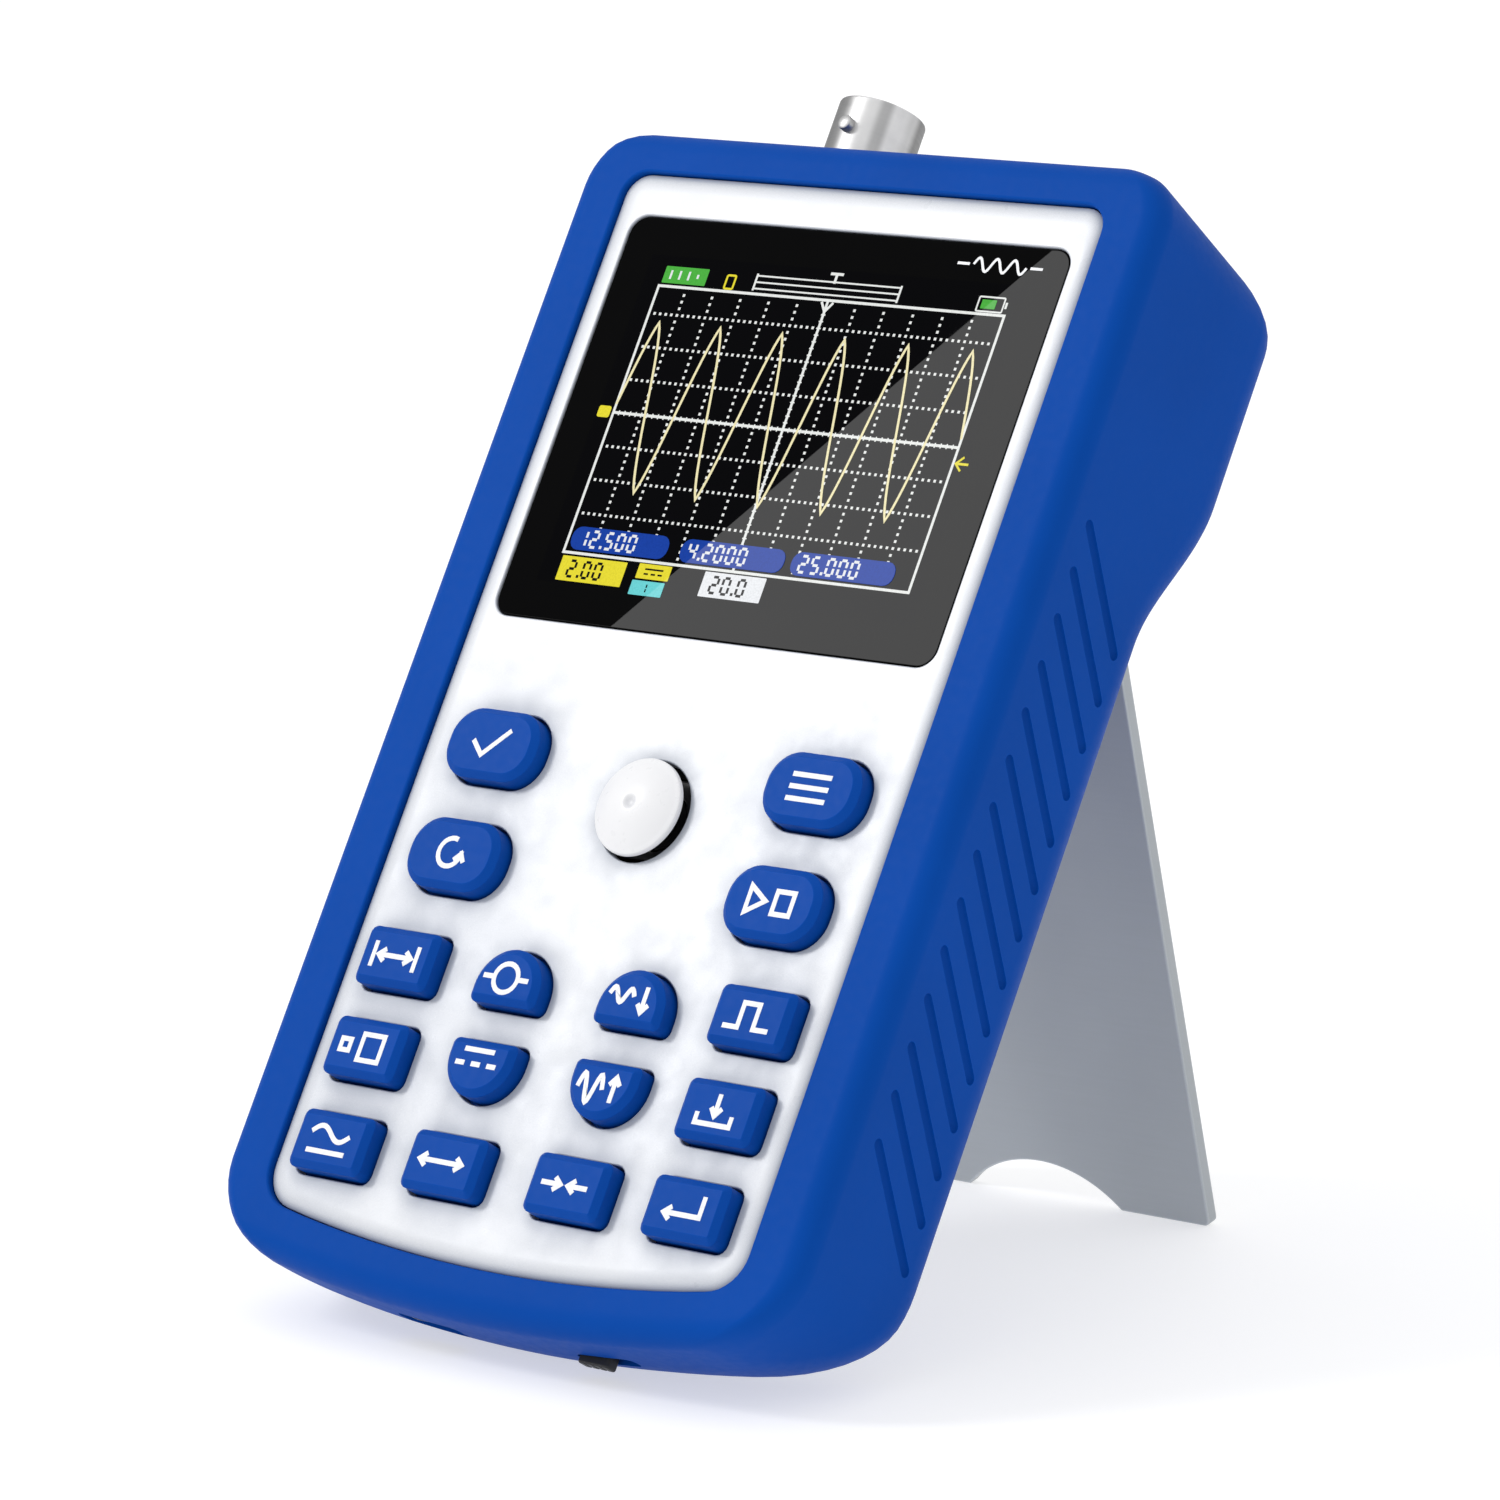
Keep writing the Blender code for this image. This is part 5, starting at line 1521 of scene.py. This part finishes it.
def build_camera(sizes):
    turn, rise = sizes.camera_azimuth, sizes.camera_elevation
    back = Vector((math.sin(turn) * math.cos(rise), -math.cos(turn) * math.cos(rise), math.sin(rise)))
    data = bpy.data.cameras.new("camera")
    data.lens = sizes.camera_lens
    data.sensor_width = 36.0
    data.clip_start = 0.01
    data.clip_end = 50.0
    camera = bpy.data.objects.new("camera", data)
    bpy.context.scene.collection.objects.link(camera)
    camera.location = Vector(CAMERA_AIM) + back * sizes.camera_distance
    camera.rotation_mode = "QUATERNION"
    camera.rotation_quaternion = (-back).to_track_quat("-Z", "Y") @ Quaternion((0, 0, 1), sizes.camera_roll)
    bpy.context.scene.camera = camera
    return camera


def mirrored_spot(eye, spot, normal, distance):
    """Where the eye's ray goes on to after the glass mirrors it at this spot."""
    ray = (spot - eye).normalized()
    return spot + (ray - 2 * ray.dot(normal) * normal) * distance


def add_softbox(name, centre, along, facing, size, radiance):
    """A rectangular light with one side along the given direction."""
    data = bpy.data.lights.new(name, "AREA")
    data.shape = "RECTANGLE"
    data.size, data.size_y = size
    data.energy = radiance * math.pi * size[0] * size[1]
    light = bpy.data.objects.new(name, data)
    bpy.context.scene.collection.objects.link(light)
    out = (-facing).normalized()
    side = (along - along.dot(out) * out).normalized()
    turned = Matrix((side, out.cross(side), out)).transposed().to_4x4()
    light.matrix_world = Matrix.Translation(centre) @ turned
    return light


def light_glass(camera):
    """The key light: a softbox whose edge shows in the glass as a slanting line."""
    normal = LEANED.to_3x3() @ Vector((0, -1, 0))
    lit = []
    for x, z in (GLINT_TOP, GLINT_FOOT, GLINT_INSIDE):
        spot = LEANED @ (Vector((x, GLASS_LOW.y, z)) * MM)
        lit.append(mirrored_spot(camera.location, spot, normal, SOFTBOX_REACH))
    start, end, inside = lit
    along = (end - start).normalized()
    inward = inside - start
    inward = (inward - inward.dot(along) * along).normalized()
    centre = (start + end) / 2 + inward * SOFTBOX_SIZE[1] / 2
    glass = LEANED @ (middle("display_glass") * MM)
    add_softbox("key_softbox", centre, along, glass - centre, SOFTBOX_SIZE, SOFTBOX_RADIANCE)


def build_stage(sizes, colours):
    scene = bpy.context.scene
    camera = build_camera(sizes)
    light_glass(camera)

    def disc(work):
        bmesh.ops.create_circle(work, cap_ends=True, segments=96, radius=8.0)

    mesh = mesh_of("floor", disc)
    floor = bpy.data.objects.new("floor", mesh)
    scene.collection.objects.link(floor)
    finish = Finish("pale_floor", 0.6, specular=0.2)
    clouds = finish.spread(finish.noise(6, 3), 0, 1)
    finish.colour(finish.mixed(clouds, shade(colours.floor, 0.99), colours.floor))
    finish.relief((finish.noise(300, 2), 0.01))
    finish.shader.inputs["Emission Color"].default_value = (1.0, 1.0, 1.0, 1.0)
    finish.shader.inputs["Emission Strength"].default_value = 0.56
    mesh.materials.append(finish.material)
    world = bpy.data.worlds.new("studio")
    world.use_nodes = True
    scene.world = world
    tree = world.node_tree
    background = tree.nodes["Background"]
    spot = tree.nodes.new("ShaderNodeTexCoord")
    parts = tree.nodes.new("ShaderNodeSeparateXYZ")
    rise = tree.nodes.new("ShaderNodeMapRange")
    rise.inputs["From Min"].default_value = 0.0
    rise.inputs["From Max"].default_value = 1.0
    rise.inputs["To Min"].default_value = 0.70
    rise.inputs["To Max"].default_value = 1.02
    tree.links.new(spot.outputs["Generated"], parts.inputs[0])
    tree.links.new(parts.outputs["Z"], rise.inputs["Value"])
    tree.links.new(rise.outputs["Result"], background.inputs["Strength"])
    background.inputs["Color"].default_value = (0.985, 0.99, 1.0, 1.0)
    scene.view_settings.view_transform = "Standard"
    scene.view_settings.look = "None"


# ----------------------------------------------------------------- operators


class PieceOperator:
    """Shared by the operators: runs one build function with the scene's settings."""

    bl_options = {"REGISTER", "UNDO"}

    def execute(self, context):
        type(self).build(context.scene.oscilloscope_sizes, context.scene.oscilloscope_colours)
        return {"FINISHED"}


class OSCILLOSCOPE_OT_stage(PieceOperator, bpy.types.Operator):
    """Set up the pale floor, the soft light and the camera"""

    bl_idname = "oscilloscope.stage"
    bl_label = "Stage"
    build = build_stage


class OSCILLOSCOPE_OT_housing(PieceOperator, bpy.types.Operator):
    """Build the blue front shell with its openings and grip grooves"""

    bl_idname = "oscilloscope.housing"
    bl_label = "Front Shell"
    build = build_housing


class OSCILLOSCOPE_OT_cover(PieceOperator, bpy.types.Operator):
    """Build the blue back cover with its screw seats and hinge pocket"""

    bl_idname = "oscilloscope.cover"
    bl_label = "Back Cover"
    build = build_cover


class OSCILLOSCOPE_OT_panel(PieceOperator, bpy.types.Operator):
    """Build the white front panel with its key holes"""

    bl_idname = "oscilloscope.panel"
    bl_label = "Front Panel"
    build = build_panel


class OSCILLOSCOPE_OT_glass(PieceOperator, bpy.types.Operator):
    """Build the black glass over the display"""

    bl_idname = "oscilloscope.glass"
    bl_label = "Glass"
    build = build_glass


class OSCILLOSCOPE_OT_picture(PieceOperator, bpy.types.Operator):
    """Build the lit picture on the display"""

    bl_idname = "oscilloscope.picture"
    bl_label = "Display Picture"
    build = build_picture


class OSCILLOSCOPE_OT_keys(PieceOperator, bpy.types.Operator):
    """Build the sixteen blue keys"""

    bl_idname = "oscilloscope.keys"
    bl_label = "Keys"
    build = build_keys


class OSCILLOSCOPE_OT_marks(PieceOperator, bpy.types.Operator):
    """Build the white marks printed on the keys"""

    bl_idname = "oscilloscope.marks"
    bl_label = "Key Marks"
    build = build_marks


class OSCILLOSCOPE_OT_round_button(PieceOperator, bpy.types.Operator):
    """Build the white five-way button and finish the parts below it"""

    bl_idname = "oscilloscope.round_button"
    bl_label = "Round Button"
    build = build_round_button


class OSCILLOSCOPE_OT_socket(PieceOperator, bpy.types.Operator):
    """Build the input socket's barrel and finish its inner parts"""

    bl_idname = "oscilloscope.socket"
    bl_label = "Input Socket"
    build = build_socket


class OSCILLOSCOPE_OT_bottom(PieceOperator, bpy.types.Operator):
    """Build the power switch's knob and finish the port"""

    bl_idname = "oscilloscope.bottom"
    bl_label = "Switch and Port"
    build = build_bottom_fittings


class OSCILLOSCOPE_OT_inside(PieceOperator, bpy.types.Operator):
    """Finish the boards, the battery and the parts inside"""

    bl_idname = "oscilloscope.inside"
    bl_label = "Inner Parts"
    build = build_inner_parts


class OSCILLOSCOPE_OT_screws(PieceOperator, bpy.types.Operator):
    """Build the four screws of the back cover"""

    bl_idname = "oscilloscope.screws"
    bl_label = "Screws"
    build = build_screws


class OSCILLOSCOPE_OT_stand(PieceOperator, bpy.types.Operator):
    """Build the fold-out stand and finish its pin"""

    bl_idname = "oscilloscope.stand"
    bl_label = "Stand"
    build = build_stand


class OSCILLOSCOPE_OT_bumpers(PieceOperator, bpy.types.Operator):
    """Build the two rubber pads behind the stand"""

    bl_idname = "oscilloscope.bumpers"
    bl_label = "Rubber Pads"
    build = build_bumpers


PIECES = (
    OSCILLOSCOPE_OT_housing,
    OSCILLOSCOPE_OT_cover,
    OSCILLOSCOPE_OT_panel,
    OSCILLOSCOPE_OT_glass,
    OSCILLOSCOPE_OT_picture,
    OSCILLOSCOPE_OT_keys,
    OSCILLOSCOPE_OT_marks,
    OSCILLOSCOPE_OT_round_button,
    OSCILLOSCOPE_OT_socket,
    OSCILLOSCOPE_OT_bottom,
    OSCILLOSCOPE_OT_inside,
    OSCILLOSCOPE_OT_screws,
    OSCILLOSCOPE_OT_stand,
    OSCILLOSCOPE_OT_bumpers,
    OSCILLOSCOPE_OT_stage,
)


class OSCILLOSCOPE_PT_sidebar(bpy.types.Panel):
    """Lists the pieces and their settings in the sidebar"""

    bl_idname = "OSCILLOSCOPE_PT_sidebar"
    bl_label = "Handheld Oscilloscope"
    bl_space_type = "VIEW_3D"
    bl_region_type = "UI"
    bl_category = "Oscilloscope"

    def draw(self, context):
        for piece in PIECES:
            self.layout.operator(piece.bl_idname)
        for group in (context.scene.oscilloscope_sizes, context.scene.oscilloscope_colours):
            box = self.layout.box()
            for name in group.bl_rna.properties.keys():
                if name not in ("rna_type", "name"):
                    box.prop(group, name)


CLASSES = (OscilloscopeSizes, OscilloscopeColours) + PIECES + (OSCILLOSCOPE_PT_sidebar,)


def register():
    for each in CLASSES:
        bpy.utils.register_class(each)
    bpy.types.Scene.oscilloscope_sizes = bpy.props.PointerProperty(type=OscilloscopeSizes)
    bpy.types.Scene.oscilloscope_colours = bpy.props.PointerProperty(type=OscilloscopeColours)


def unregister():
    del bpy.types.Scene.oscilloscope_colours
    del bpy.types.Scene.oscilloscope_sizes
    for each in reversed(CLASSES):
        bpy.utils.unregister_class(each)


def main():
    register()
    for piece in PIECES:
        group, action = piece.bl_idname.split(".")
        getattr(getattr(bpy.ops, group), action)()


if __name__ == "__main__":
    main()
